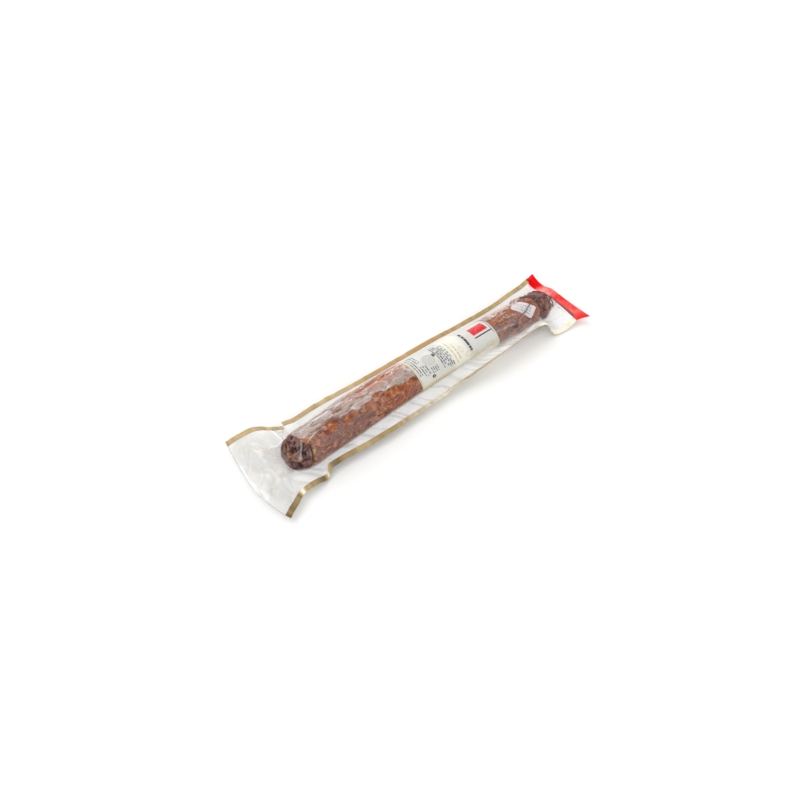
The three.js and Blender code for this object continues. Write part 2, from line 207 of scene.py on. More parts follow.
class Noise:
    """Smooth random values from -1 to 1 over a plane that repeats every `period` cells in y."""

    def __init__(self, seed, period=64, cells=256):
        self.values = np.random.default_rng(seed).uniform(-1, 1, (cells, period))

    def __call__(self, x, y):
        x, y = np.broadcast_arrays(x, y)
        i = np.floor(x).astype(int)
        j = np.floor(y).astype(int)
        u = x - i
        v = y - j
        u = u * u * (3 - 2 * u)
        v = v * v * (3 - 2 * v)
        cells, period = self.values.shape
        low = mix(self.values[i % cells, j % period], self.values[(i + 1) % cells, j % period], u)
        high = mix(
            self.values[i % cells, (j + 1) % period], self.values[(i + 1) % cells, (j + 1) % period], u
        )
        return mix(low, high, v)


def ridges(values, sharpness):
    """Thin crests where a noise crosses zero."""
    return (1 - np.abs(values)) ** sharpness


# ---------------------------------------------------------------- the loin's surface

diameter = through(LOIN_DIAMETER)
bow = through(LOIN_BOW)


def body_radius(s):
    return diameter(s) / 2


def axis_height(s):
    return BELLY * body_radius(s) + AXIS_LIFT


def dome(depth, length):
    t = np.clip(depth / length, 0, 1)
    return (1 - (1 - t) ** DOME_POWER) ** (1 / DOME_POWER)


def end_shape(s):
    return dome(s - LOIN_NEAR, NEAR_DOME) * dome(LOIN_FAR - s, FAR_DOME)


def swells(s, angle):
    a = np.radians(angle)
    total = 0
    for w in SWELLS:
        total = total + w["height"] * np.sin(s / w["run"] + w["sway"] * np.cos(a)) * np.cos(
            w["waves"] * a + s / w["twist"]
        )
    return total


def full_radius(s, angle):
    return body_radius(s) + swells(s, angle)


def around_loin(s, angle, radius, floor):
    s, angle, radius = np.broadcast_arrays(s, angle, radius)
    a = np.radians(angle)
    y = bow(s) - radius * np.cos(a)
    z = np.maximum(axis_height(s) + radius * np.sin(a), floor)
    return np.stack([s, y, z], -1)


def tie_station(angle):
    return TIE_STATION + TIE_SLANT * np.sin(np.radians(angle))


def groove(s, angle):
    return np.exp(-(((s - tie_station(angle)) / TIE_GROOVE_WIDTH) ** 2))


# Pleats of the gathered casing at the near end: thin crests with wide pockets between them
NEAR_PLEATS = dict(count=9, height=2.6, wander=0.8, waves=2, start=-172, full=-190, sharpness=3)
FAR_PLEATS = dict(count=13, height=1.7, wander=0.7, waves=3, start=281, full=300, sharpness=2)
PLEAT_SINK = 0.45
RIM_WIDTH = 4.5
RIM_DEPTH = 1.3
lumps = Noise(11, period=12)
fine_lumps = Noise(12, period=40)
rim_sway = Noise(13, period=9)


def pleats(s, angle, count, height, wander, waves, start, full, sharpness):
    share = smoothstep((s - start) / (full - start), 0, 1)
    a = np.radians(angle)
    crest = (0.5 + 0.5 * np.cos(count * a + wander * np.sin(waves * a))) ** sharpness
    return height * share * (crest - PLEAT_SINK)


# Where the near end's gathers begin, as (angle, station)
RIM = [(-90, -176), (35, -176.5), (57, -176.5), (89, -181.5), (131, -186.5), (180, -190), (270, -182)]
rim_station = through(RIM)


def rim(s, angle):
    """The shallow channel where the near end's gathers begin."""
    at = rim_station(angle) + 1.2 * rim_sway(0.5, angle / 40)
    return np.exp(-(((s - at) / RIM_WIDTH) ** 2))


# Pockets and grooves between the near end's gathers, sunk and darkened with painted shade, as lines
# through (station, angle) places with their half width and depth in mm
POCKETS = [
    dict(route=[(-180, 73), (-183.6, 61.5), (-186.8, 51), (-189.5, 38)], width=1.5, depth=2.4),
    dict(route=[(-174.6, 64), (-173.6, 58), (-174.4, 48), (-176, 33), (-179, 18)], width=1.3, depth=1.6),
    dict(route=[(-183.6, 50), (-185.6, 38)], width=1.9, depth=1.8),
    dict(route=[(-189.2, 28), (-183.2, 20)], width=1.4, depth=1.4),
    dict(route=[(-206, 26), (-200, 18), (-195.5, 2)], width=3.2, depth=2.0),
    dict(route=[(-187.6, 70), (-190.5, 67)], width=1.2, depth=1.2),
    dict(route=[(-192.6, 73), (-194.4, 62)], width=1.5, depth=1.4),
    dict(route=[(-197, 70), (-199, 66)], width=1.2, depth=1.0),
    dict(route=[(-187, 122), (-188.5, 112)], width=1.4, depth=1.0),
    dict(route=[(-200, 124), (-203.5, 108)], width=1.4, depth=1.0),
]
# Broad dents and a raised lip of the near end, by station, angle, half length along the loin
# and half width round it in mm, and height
DENTS = [(-207, 105, 9, 26, -4.0), (-206, 20, 5, 10, -1.6), (-176, -26, 3, 6, 2.0), (-208, 46, 4, 5, 1.6)]


def pocket_share(s, angle):
    """How deep in a pocket a place is, from 0 to 1, which sets its painted shade, and the pocket's depth in
    mm there.
    """
    deepest = np.zeros(np.broadcast_shapes(np.shape(s), np.shape(angle)))
    sink = deepest
    for pocket in POCKETS:
        share = line_share([pocket["route"]], pocket["width"], s, angle)
        deepest = np.maximum(deepest, share)
        sink = np.maximum(sink, pocket["depth"] * share)
    return deepest, sink


def dents(s, angle):
    total = 0
    for at, turned, length, width, height in DENTS:
        arc = np.radians((angle - turned + 180) % 360 - 180) * body_radius(at)
        total = total + height * np.exp(-(((s - at) / length) ** 2) - (arc / width) ** 2)
    return total


def distance_to(route, s, angle):
    """Distance in mm over the loin from each place to a line through (station, angle) points."""
    line = catmull(route, 8)
    nearest = np.full(np.broadcast_shapes(np.shape(s), np.shape(angle)), 999.0)
    for at, turned in line:
        arc = np.radians(angle - turned) * body_radius(at)
        nearest = np.minimum(nearest, np.hypot(s - at, arc))
    return nearest


def line_share(lines, width, s, angle):
    """1 on any of the lines, fading to 0 within a few widths of it."""
    return np.max([np.exp(-((distance_to(line, s, angle) / width) ** 2)) for line in lines], 0)


# Creases where the casing is sunk and darkened with painted shade, as lines through (station, angle) places
CREASES = [
    [(-37, 69), (-28, 77), (-19, 83)], [(-107, 73), (-99, 79), (-91, 85)],
    [(-188, 116), (-168, 120), (-152, 131)],
    [(-156, 105), (-146, 98), (-134, 99)], [(-133, 127), (-117, 126), (-106, 121)],
    [(-106, 128), (-86, 107), (-72, 110), (-56, 114)], [(-126, 108), (-112, 104), (-98, 108)],
    [(-163, 88), (-151, 84), (-146, 87)], [(8, 56), (12, 53), (15, 47)], [(-80, 92), (-66, 86), (-58, 90)],
    [(-18, 106), (-10, 109), (-4, 105)], [(188, 70), (205, 66), (222, 68)], [(190, 58), (206, 55)],
]
CREASE_WIDTH = 1.2
CREASE_DEPTH = 1.0
veins = Noise(14, period=30)


def vein_and_crease_shade_share(s, angle):
    """Thin dark lines of the casing, which run mostly along it, and its creases: partly the casing's own
    dark lines, partly painted shade in creases and wrinkles.
    """
    around = angle / 360
    fine = ridges(veins(s / 26 + 2 * rim_sway(s / 30, around * 9), around * 30 + s / 70), 14)
    return np.maximum(line_share(CREASES, CREASE_WIDTH, s, angle), 0.7 * fine)


def casing_height(s, angle):
    """Relief of the casing, in mm, over its smooth domed body."""
    around = angle / 360
    bumps = 0.45 * lumps(s / 21, around * 12) + 0.22 * fine_lumps(s / 5, around * 40)
    gathers = pleats(s, angle, **NEAR_PLEATS) + pleats(s, angle, **FAR_PLEATS)
    sunk = RIM_DEPTH * rim(s, angle) + TIE_GROOVE * groove(s, angle) + pocket_share(s, angle)[1]
    creased = CREASE_DEPTH * line_share(CREASES, CREASE_WIDTH, s, angle)
    return bumps + gathers + dents(s, angle) - sunk - creased


# ---------------------------------------------------------------- what lies on the loin

def tag_place(s, angle):
    """Distances along and across the tag of a place on the loin."""
    turn = math.radians(TAG_TURN)
    ds = s - TAG_STATION
    arc = np.radians(angle - TAG_ANGLE) * body_radius(TAG_STATION)
    return ds * math.cos(turn) + arc * math.sin(turn), arc * math.cos(turn) - ds * math.sin(turn)


def label_place(s, angle):
    """Distance of a place from the label's near edge, along the loin."""
    return s - LABEL_SKEW * (angle - LABEL_SKEW_ANGLE) - LABEL_NEAR


loop_line = catmull(LOOP_ROUTE, 8)


def loop_lift(s):
    return mix(LOOP_REST, LOOP_LIFT, np.exp(-(((s - TAG_STATION) / LOOP_LIFT_REACH) ** 4)))


STRING_TENT = 1.3


def string_height(s, angle):
    """How high the film rides over the string loop, falling away beside it like a tent."""
    best = np.full(np.shape(s), -9.0)
    for at, turned in loop_line:
        arc = np.radians(angle - turned) * body_radius(at)
        away = np.hypot(s - at, arc)
        top = loop_lift(at) + STRING / 2
        best = np.maximum(best, top - STRING_TENT * np.maximum(away - STRING / 3, 0))
    return best


def tag_height(s, angle):
    along, across = tag_place(s, angle)
    outside = np.maximum(np.abs(along) - TAG_LENGTH / 2, np.abs(across) - TAG_WIDTH / 2)
    return TAG_REST + TAG - np.maximum(outside, 0) * 0.8


def label_height(s, angle):
    along = label_place(s, angle)
    outside = np.maximum(np.abs(along - (LABEL_FAR - LABEL_NEAR) / 2) - (LABEL_FAR - LABEL_NEAR) / 2, 0)
    return LABEL_REST + LABEL - outside * 0.6


# ---------------------------------------------------------------- the bag's surface

SEAMS = [(through(points, 1), through(points, 2)) for points in (BACK_SEAM, FRONT_SEAM)]


def flat_point(s, q):
    """A place on the bag when it lies flat: q runs from the back seam (0) to the front seam (1)."""
    s, q = np.broadcast_arrays(np.asarray(s, float), q)
    (back_y, back_z), (front_y, front_z) = SEAMS
    nearness = 1 - smoothstep(s, *FAN)
    farness = smoothstep(s, *FLAT_FAR)
    v = 1 - 2 * q
    lean = np.where(v < 0, NEAR_EDGE_FRONT, NEAR_EDGE_BACK) * v * v * nearness
    hump = np.sin(np.pi * q)
    crown = mix(CROWN_AT_LOIN, CROWN_AT_HEADER, smoothstep(s, FLAT_FAR[1], HEADER_NEAR + HEADER_WIDTH))
    tuck = HEADER_TUCK * np.sin(np.pi * np.clip(q / HEADER_TUCK_SHARE, 0, 1))
    ripple = FAN_RIPPLE["height"] * hump * np.sin(FAN_RIPPLE["across"] * q + s / FAN_RIPPLE["run"])
    rise = nearness * (FAN_SAG * hump + ripple) + farness * (crown * hump + tuck)
    x = s + lean - HEADER_SKEW * v * farness
    y = mix(back_y(s), front_y(s), q)
    z = mix(back_z(s), front_z(s), q) + rise
    return np.stack([x, y, z], -1)


def web_radius(s, angle):
    near = s < LOIN_NEAR + NEAR_DOME
    near_end = dome(s - LOIN_NEAR + NEAR_TENT_INSET, NEAR_DOME + NEAR_TENT_INSET)
    far_end = dome(DRAWN[3] - s, FAR_TENT)
    swell = full_radius(s, angle) * np.where(near, near_end, far_end)
    tent = np.where(near, NEAR_TENT * smoothstep(s, DRAWN[0], DRAWN[1]), 0)
    return np.maximum(swell, tent)


def bearing(s, point):
    angle = np.degrees(np.arctan2(point[..., 2] - axis_height(s), bow(s) - point[..., 1]))
    return np.where(angle < -90, angle + 360, angle)


def throat(s, k):
    """Where the two webs part on their way from a seam (k 0 back, 1 front) to the loin."""
    angle = bearing(s, flat_point(s, k))
    radius = web_radius(s, angle)
    return angle, around_loin(s, angle, radius + THROAT * np.minimum(1, radius / THROAT_TAPER), 0)


def from_edge(s, k, distance):
    """Places a given distance in from a side seam's outer edge, and their share of the width."""
    edge = flat_point(s, k)
    across = flat_point(s, 1 - k) - edge
    width = np.hypot(across[..., 1], across[..., 2])
    drawn = within(s, DRAWN)[..., None]
    inward = throat(s, k)[1] - edge
    inward = drawn * inward / np.hypot(inward[..., 1], inward[..., 2])[..., None]
    inward = inward + across * (1 - drawn) / width[..., None]
    turn = -np.radians(FRONT_CURL * within(s, CURLED) * k)
    y = inward[..., 1] * np.cos(turn) - inward[..., 2] * np.sin(turn)
    z = inward[..., 1] * np.sin(turn) + inward[..., 2] * np.cos(turn)
    length = np.hypot(y, z)
    share = distance / width
    x = flat_point(s, share if k == 0 else 1 - share)[..., 0]
    point = np.stack([x, edge[..., 1] + distance * y / length, edge[..., 2] + distance * z / length], -1)
    return point, share


# The part's own spread of a crossing's columns: back flange, round the loin, front flange
FLANGE_SHARE = 1 / 15
ARC_SHARES = (2 / 15, 12 / 15)


def web_grid(s, side, back_columns, arc_columns, front_columns):
    """The upper (side 1) or lower (side -1) web. Returns its points, the angle round the loin
    of each, 1 where it lies on the loin or 0 on a flange, how near it is to the loin on a
    flange, and its share of the bag's width."""
    s = s[:, None]
    ends = [from_edge(s[:, 0], k, SEAM_WIDTH) for k in (0, 1)]
    throats = [throat(s[:, 0], k) for k in (0, 1)]
    back_t = np.linspace(0, 1, back_columns, endpoint=False)
    front_t = np.linspace(1, 0, front_columns, endpoint=False)[::-1]
    arc_t = np.linspace(0, 1, arc_columns)
    back = mix(ends[0][0][:, None], throats[0][1][:, None], back_t[None, :, None])
    front = mix(throats[1][1][:, None], ends[1][0][:, None], front_t[None, :, None])
    start = throats[0][0] - side * WEB_SPREAD
    stop = throats[1][0] + side * WEB_SPREAD + (0 if side > 0 else 360)
    angle = mix(start[:, None], stop[:, None], arc_t[None, :])
    angle = np.where(angle > 270, angle - 360, angle)
    arc = around_loin(s, angle, web_radius(s, angle), FILM_FLOOR)
    path = np.concatenate([back, arc, front], 1)
    angles = np.concatenate(
        [np.repeat(throats[0][0][:, None], back_columns, 1), angle,
         np.repeat(throats[1][0][:, None], front_columns, 1)], 1,
    )
    spread = np.concatenate(
        [FLANGE_SHARE * back_t, mix(*ARC_SHARES, arc_t), 1 - FLANGE_SHARE * (1 - front_t)]
    )
    q = mix(ends[0][1][:, None], 1 - ends[1][1][:, None], spread[None, :])
    flat = flat_point(s, q)
    path[..., 0] = flat[..., 0]
    over_loin = np.concatenate([np.zeros(back_columns), np.ones(arc_columns), np.zeros(front_columns)])
    drawn = within(s, DRAWN)
    near_loin = np.concatenate([back_t, np.ones(arc_columns), 1 - front_t])[None, :]
    return mix(flat, path, drawn[..., None]), angles, over_loin[None, :] * drawn, near_loin, q


def normals(grid):
    """Unit normals of a grid of points, up or outward for a web seen from above."""
    normal = np.cross(np.gradient(grid, axis=1), np.gradient(grid, axis=0))
    return normal / np.maximum(np.linalg.norm(normal, axis=-1, keepdims=True), 1e-9)


def stations(start, end, step):
    return np.linspace(start, end, int(round((end - start) / step)) + 1)


# ---------------------------------------------------------------- where the film stands off

# Above this angle the film stands a little off the casing, from the near end to the far one
LOOSE_FROM = [
    (-266, 190), (-194, 190), (-183, 112), (-176, 84), (-166, 70), (-158, 80), (-150, 88), (-135, 92),
    (-120, 84), (-108, 72), (-96, 76), (-85, 68), (-66, 66), (-56, 78), (-48, 74), (-35, 68), (-22, 66),
    (-8, 60), (8, 58), (22, 56), (60, 100), (150, 108), (182, 100), (205, 104), (230, 110), (258, 122),
    (270, 150), (318, 150),
]
loose_from = through(LOOSE_FROM)
ragged = Noise(21, period=30)
ragged_fine = Noise(22, period=90)
long_creases = Noise(23, period=26)
short_creases = Noise(24, period=34)
islands = Noise(25, period=16)
flange_creases = Noise(26)
flange_swell = Noise(27)
fan_creases = Noise(28)
fan_swell = Noise(29)
fold_fade = Noise(30)
# Where the film clings again within its loose part, as lines through (station, angle) places
WINDOWS = [[(-177, 76), (-172, 76), (-166.5, 80)], [(-34, 108), (-22, 110)], [(-120, 96), (-108, 93)]]
WINDOW_WIDTH = 2.6


def looseness(s, angle):
    """0 where the film clings to what it wraps and 1 where it stands off, and how near a place
    is to the line between the two."""
    around = angle / 360
    tear = 6 * ragged(s / 9, around * 30) + 3.5 * ragged_fine(s / 3.5, around * 90)
    past = angle + tear - loose_from(s)
    upper = smoothstep(past, -2.5, 2.5)
    island = smoothstep(islands(s / 17, around * 16), 0.5, 0.7)
    clear = line_share(WINDOWS, WINDOW_WIDTH, s, angle)
    return upper * (1 - 0.6 * island) * (1 - clear), np.exp(-((past / 3) ** 2))


def creases(s, angle):
    """Crests of the film's wrinkles over the loin, which run mostly along it."""
    around = angle / 360
    slant = 0.4 * ragged(s / 30, around * 8)
    long = ridges(long_creases(s / 34 + slant, around * 26 + s / 60), 10)
    short = ridges(short_creases(s / 9, around * 34 - s / 45), 12)
    return long, short


# Folds of the film that stand off the loin: the line they follow through (station, angle)
# places, their height and half width in mm, and how white they are painted, a painted highlight where they
# catch the light
FILM_FOLDS = [
    dict(route=[(-180, 86), (-184, 69.5), (-189.2, 54.5), (-192.8, 42), (-193.4, 32)], height=1.8, width=1.1,
         white=0.5),
    dict(route=[(-192.6, 41), (-194.6, 36)], height=1.4, width=2.4, white=0.36),
    dict(route=[(-193.4, 32), (-199.9, 27), (-203.5, 23.5)], height=1.2, width=1.0, white=0.34),
    dict(route=[(-189, 61), (-195.9, 57), (-201.5, 55.5)], height=1.0, width=0.7, white=0.34),
    dict(route=[(-186, 78), (-190, 71), (-191, 66)], height=0.8, width=0.9, white=0.22),
    dict(route=[(-177, 46), (-178.4, 34), (-180, 24)], height=1.0, width=0.9, white=0.34),
    dict(route=[(-179, 59), (-181.4, 55), (-184.6, 54)], height=0.9, width=0.9, white=0.3),
    dict(route=[(-181.6, 43), (-183.6, 40)], height=0.8, width=0.9, white=0.34),
    dict(route=[(-185, 108), (-190, 100), (-196, 96)], height=0.8, width=0.9, white=0.16),
    dict(route=[(-174, 71), (-164, 76), (-152, 83)], height=1.5, width=1.3, white=0.55),
    dict(route=[(-147, 76), (-142, 70), (-134, 74)], height=0.8, width=0.9, white=0.5),
    dict(route=[(-59, 66), (-54, 58), (-46, 66), (-36, 63)], height=0.9, width=1.0, white=0.5),
    dict(route=[(181, 47), (200, 43), (218, 38)], height=1.4, width=1.1, white=0.8),
    dict(route=[(196, 74), (208, 82), (216, 84)], height=1.0, width=0.9, white=0.55),
    dict(route=[(186, 90), (205, 94), (216, 98)], height=1.0, width=1.0, white=0.5),
    dict(route=[(206, 80), (213, 74), (226, 72)], height=1.0, width=0.9, white=0.45),
]


def film_folds(s, angle):
    """Height and painted highlight of the film's own folds, which swell and fade along their lines."""
    height = np.zeros(np.broadcast_shapes(np.shape(s), np.shape(angle)))
    white = height
    fade = smoothstep(fold_fade(s / 3.4, angle / 9), -0.8, 0.3)
    for fold in FILM_FOLDS:
        share = line_share([fold["route"]], fold["width"], s, angle) * (0.25 + 0.75 * fade)
        height = np.maximum(height, fold["height"] * share)
        white = np.maximum(white, fold["white"] * share)
    return height, white


# ---------------------------------------------------------------- meshes

def place(points):
    return (np.asarray(points, float) - DRAWN_ORIGIN) * MM


def new_piece(name, points, faces, material, fields=None):
    mesh = bpy.data.meshes.new(name)
    mesh.from_pydata(place(points).tolist(), [], [list(map(int, face)) for face in faces])
    mesh.validate()
    mesh.update()
    for field, values in (fields or {}).items():
        layer = mesh.attributes.new(field, "FLOAT", "POINT")
        layer.data.foreach_set("value", np.ravel(values).astype(np.float32))
    mesh.shade_smooth()
    mesh.materials.append(material)
    piece = bpy.data.objects.new(name, mesh)
    bpy.context.scene.collection.objects.link(piece)
    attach(piece, "root")
    return piece


def grid_faces(rows, columns, first=0, wrap=False):
    """Quads of a grid with rows along +X and columns towards -Y, facing up."""
    i = np.arange(rows - 1)[:, None]
    j = np.arange(columns if wrap else columns - 1)[None, :]
    k = (j + 1) % columns
    corners = [i * columns + j, i * columns + k, (i + 1) * columns + k, (i + 1) * columns + j]
    return np.stack([first + np.broadcast_to(c, (rows - 1, j.shape[1])) for c in corners], -1).reshape(-1, 4)


def sheet(name, grid, material, fields=None):
    """A single thin sheet of film."""
    rows, columns = grid.shape[:2]
    return new_piece(name, grid.reshape(-1, 3), grid_faces(rows, columns), material, fields)


def slab(name, grid, thickness, material, fields=None):
    """A closed sheet of the given thickness, with the grid at its middle."""
    rows, columns = grid.shape[:2]
    shift = normals(grid) * thickness / 2
    count = rows * columns
    faces = [grid_faces(rows, columns), grid_faces(rows, columns, count)[:, ::-1]]
    index = np.arange(count).reshape(rows, columns)
    rim_line = np.concatenate([index[0, :-1], index[:-1, -1], index[-1, :0:-1], index[:0:-1, 0]])
    after = np.roll(rim_line, -1)
    faces.append(np.stack([after, rim_line, rim_line + count, after + count], -1))
    points = np.concatenate([(grid + shift).reshape(-1, 3), (grid - shift).reshape(-1, 3)])
    doubled = {field: np.tile(np.ravel(values), 2) for field, values in (fields or {}).items()}
    return new_piece(name, points, np.concatenate(faces), material, doubled)


def gone_along(line):
    """Distance along a line to each of its points."""
    return np.concatenate([[0], np.cumsum(np.linalg.norm(np.diff(line, axis=0), axis=1))])


STRAND_SIDES = 8


def strand_rings(line, strand):
    """Rings of points round one strand of a string, which winds about the string's line."""
    ahead = np.roll(line, -1, 0) - np.roll(line, 1, 0)
    ahead[0] = line[1] - line[0]
    ahead[-1] = line[-1] - line[-2]
    ahead /= np.linalg.norm(ahead, axis=1, keepdims=True)
    side = np.cross(ahead, (0.0, 0.0, 1.0))
    side /= np.maximum(np.linalg.norm(side, axis=1, keepdims=True), 1e-9)
    over = np.cross(side, ahead)
    gone = gone_along(line)
    phase = 2 * np.pi * (gone / STRAND_PITCH + strand / STRANDS)
    centre = line + STRAND_SPREAD * (np.cos(phase)[:, None] * side + np.sin(phase)[:, None] * over)
    turn = 2 * np.pi * np.arange(STRAND_SIDES) / STRAND_SIDES
    return (
        centre[:, None]
        + STRAND_RADIUS * np.cos(turn)[None, :, None] * side[:, None]
        + STRAND_RADIUS * np.sin(turn)[None, :, None] * over[:, None]
    )


def tube_mesh(rings, first):
    """Points and faces of a capped tube through rings."""
    rows, columns = rings.shape[:2]
    points = rings.reshape(-1, 3)
    faces = [list(face) for face in grid_faces(rows, columns, first, wrap=True)]
    faces.append([first + j for j in reversed(range(columns))])
    faces.append([first + (rows - 1) * columns + j for j in range(columns)])
    return points, faces


STRAND_PITCH = 4.6
STRAND_SPREAD = 0.52
STRAND_RADIUS = 0.62
STRANDS = 2


def resampled(line, step):
    """The same line with its points evenly spaced."""
    gone = gone_along(line)
    at = np.linspace(0, gone[-1], max(int(gone[-1] / step), 2) + 1)
    return np.stack([np.interp(at, gone, line[:, k]) for k in range(3)], -1)


def string_piece(name, lines, material):
    """Two-strand string along one or more open lines."""
    points, faces, count = [], [], 0
    for line in lines:
        path = resampled(line, 0.6)
        for strand in range(STRANDS):
            new_points, new_faces = tube_mesh(strand_rings(path, strand), count)
            points.append(new_points)
            faces.extend(new_faces)
            count += len(new_points)
    return new_piece(name, np.concatenate(points), faces, material)


# ---------------------------------------------------------------- materials

class Shader:
    """Builds one node material around a Principled shader."""

    def __init__(self, name, **values):
        self.material = bpy.data.materials.new(name)
        self.material.use_nodes = True
        self.nodes = self.material.node_tree.nodes
        self.links = self.material.node_tree.links
        self.surface = self.nodes["Principled BSDF"]
        for socket, value in values.items():
            self.surface.inputs[socket.replace("_", " ")].default_value = value

    def node(self, kind, inputs=None, **settings):
        made = self.nodes.new("ShaderNode" + kind)
        for name, value in settings.items():
            setattr(made, name, value)
        for name, value in (inputs or {}).items():
            self.feed(made.inputs[name], value)
        return made

    def feed(self, socket, value):
        if isinstance(value, bpy.types.NodeSocket):
            self.links.new(value, socket)
        else:
            socket.default_value = value

    def math(self, operation, a, b=0.0):
        return self.node("Math", {0: a, 1: b}, operation=operation).outputs[0]

    def times(self, a, b):
        return self.math("MULTIPLY", a, b)

    def field(self, name):
        return self.node("Attribute", attribute_name=name).outputs["Fac"]

    def place(self):
        return self.node("TexCoord").outputs["Object"]

    def noise(self, scale, detail=3.0, roughness=0.55, vector=None, distortion=0.0):
        inputs = {"Scale": scale, "Detail": detail, "Roughness": roughness, "Distortion": distortion}
        inputs["Vector"] = self.place() if vector is None else vector
        return self.node("TexNoise", inputs).outputs["Fac"]

    def stretched(self, x, y, z):
        """Object coordinates scaled along each axis, for noise that runs one way."""
        return self.node("Mapping", {"Vector": self.place(), "Scale": (x, y, z)}).outputs["Vector"]

    def step(self, value, low, high):
        """0 below low, 1 above high, smooth between."""
        return self.node(
            "MapRange", {"Value": value, "From Min": low, "From Max": high}, interpolation_type="SMOOTHSTEP"
        ).outputs["Result"]

    def band(self, value, low, high, soft=0.15):
        """1 between low and high, else 0."""
        inside = self.step(value, low - soft, low + soft)
        return self.times(inside, self.step(value, high + soft, high - soft))

    def mixed(self, share, a, b):
        made = self.node("Mix", data_type="RGBA")
        self.feed(made.inputs[0], share)
        self.feed(made.inputs[6], a)
        self.feed(made.inputs[7], b)
        return made.outputs[2]

    def bump(self, height, strength, distance=0.0004):
        made = self.node("Bump", {"Strength": strength, "Distance": distance, "Height": height})
        self.links.new(made.outputs["Normal"], self.surface.inputs["Normal"])

    def colour(self, value):
        self.feed(self.surface.inputs["Base Color"], value)

    def set(self, socket, value):
        self.feed(self.surface.inputs[socket], value)


def rgb(red, green, blue):
    """A colour as seen on screen, from 0 to 255, as the shader takes it."""
    def linear(c):
        c /= 255
        return c / 12.92 if c <= 0.04045 else ((c + 0.055) / 1.055) ** 2.4
    return (linear(red), linear(green), linear(blue), 1.0)


def casing_material():
    m = Shader("casing", Roughness=0.45, Specular_IOR_Level=0.12)
    broad = m.noise(38, 4, 0.6)
    middle = m.noise(135, 4, 0.6, distortion=0.8)
    fine = m.noise(520, 3)
    streaks = m.noise(100, 4, 0.6, vector=m.stretched(0.4, 1, 1))
    brown = m.mixed(m.step(middle, 0.38, 0.62), rgb(106, 66, 54), rgb(178, 130, 110))
    mauve = m.mixed(m.step(streaks, 0.46, 0.58), brown, rgb(128, 94, 88))
    mauve = m.mixed(m.step(broad, 0.52, 0.64), mauve, rgb(152, 98, 74))
    orange = m.mixed(m.step(middle, 0.38, 0.58), rgb(116, 50, 16), rgb(172, 92, 36))
    # Painted highlights: cream spots in the orange
    orange = m.mixed(m.step(middle, 0.62, 0.68), orange, rgb(222, 160, 108))
    base = m.mixed(m.field("clinging"), mauve, orange)
    flecks = m.times(m.step(fine, 0.58, 0.68), 0.35)
    base = m.mixed(flecks, base, rgb(214, 172, 152))
    pits = m.times(m.step(fine, 0.42, 0.34), 0.4)
    base = m.mixed(pits, base, rgb(78, 42, 38))
    # Dark lines: painted shade in creases and wrinkles, partly the casing's own dark lines
    base = m.mixed(m.times(m.field("veins"), 0.75), base, rgb(52, 26, 24))
    dark = m.mixed(m.step(middle, 0.36, 0.6), rgb(52, 26, 20), rgb(126, 88, 82))
    base = m.mixed(m.field("gathered"), base, dark)
    # Painted shade: near black in the pockets between the gathers
    base = m.mixed(m.field("pocket"), base, rgb(20, 8, 6))
    # Painted highlight: bright amber light along the rim of the near end's gathers
    amber_highlight = m.mixed(m.step(middle, 0.4, 0.6), rgb(150, 84, 26), rgb(222, 172, 106))
    m.colour(m.mixed(m.field("amber"), base, amber_highlight))
    m.bump(m.math("ADD", m.times(middle, 0.7), m.times(fine, 0.3)), 0.5, 0.0008)
    return m.material


def film_material():
    m = Shader("film", Roughness=0.12, Specular_IOR_Level=0.6)
    fine = m.noise(300, 3)
    cloud = m.noise(60, 3)
    veil = m.mixed(cloud, rgb(192, 178, 168), rgb(222, 206, 196))
    veil = m.mixed(m.field("rosy"), veil, m.mixed(cloud, rgb(214, 150, 124), rgb(236, 186, 164)))
    plain = m.mixed(m.noise(24, 2), rgb(204, 203, 198), rgb(224, 223, 219))
    clear = m.mixed(m.field("plain"), veil, plain)
    # Painted light: white where the film catches the light, less white along painted crease shade
    clear = m.mixed(m.field("whiteness"), clear, rgb(252, 252, 252))
    clear = m.mixed(m.field("cut"), clear, rgb(150, 150, 148))
    m.colour(m.mixed(m.field("gilt"), clear, rgb(214, 190, 130)))
    cover = m.times(m.field("haze"), m.math("ADD", 0.9, m.times(fine, 0.2)))
    m.set("Alpha", m.math("MINIMUM", cover, 1.0))
    m.bump(m.noise(170, 2), 0.2, 0.0006)
    return m.material


def gold_material():
    m = Shader("gold_print", Metallic=0.1, Specular_IOR_Level=0.25)
    drift = m.noise(30, 3)
    fine = m.noise(500, 2)
    plain = m.mixed(m.step(drift, 0.35, 0.7), rgb(174, 150, 102), rgb(194, 170, 124))
    # Painted reflection of the loin: warmer gold on the back seam beside it
    plain = m.mixed(m.field("warm"), plain, rgb(184, 144, 94))
    olive = m.mixed(m.step(drift, 0.35, 0.7), rgb(104, 86, 46), rgb(128, 108, 66))
    # Painted reflection: olive where the print reflects dark surroundings, cream as a painted highlight
    tone = m.field("tone")
    tint = m.mixed(m.step(tone, 0.0, 0.5), olive, plain)
    m.colour(m.mixed(m.step(tone, 0.5, 1.0), tint, rgb(246, 240, 216)))
    m.set("Roughness", m.math("ADD", 0.34, m.times(fine, 0.16)))
    m.bump(m.noise(220, 2), 0.15, 0.0003)
    return m.material


def red_material():
    m = Shader("red_print", Specular_IOR_Level=0.06)
    drift = m.noise(40, 3)
    deep = m.mixed(m.step(drift, 0.3, 0.7), rgb(226, 0, 8), rgb(244, 6, 14))
    # Painted sheen: pink highlights lighten the red print
    lit = m.mixed(m.field("pale"), deep, rgb(252, 158, 150))
    m.colour(m.mixed(m.field("shade"), lit, rgb(96, 78, 80)))
    m.set("Roughness", m.math("ADD", 0.3, m.times(m.noise(300, 2), 0.12)))
    m.bump(m.noise(150, 3), 0.2, 0.0004)
    return m.material


# How finely the bars of small print are broken up, and how far apart in the noise its rows lie
PRINT_SCALE = 0.36
PRINT_ROW_SHIFT = 7.3


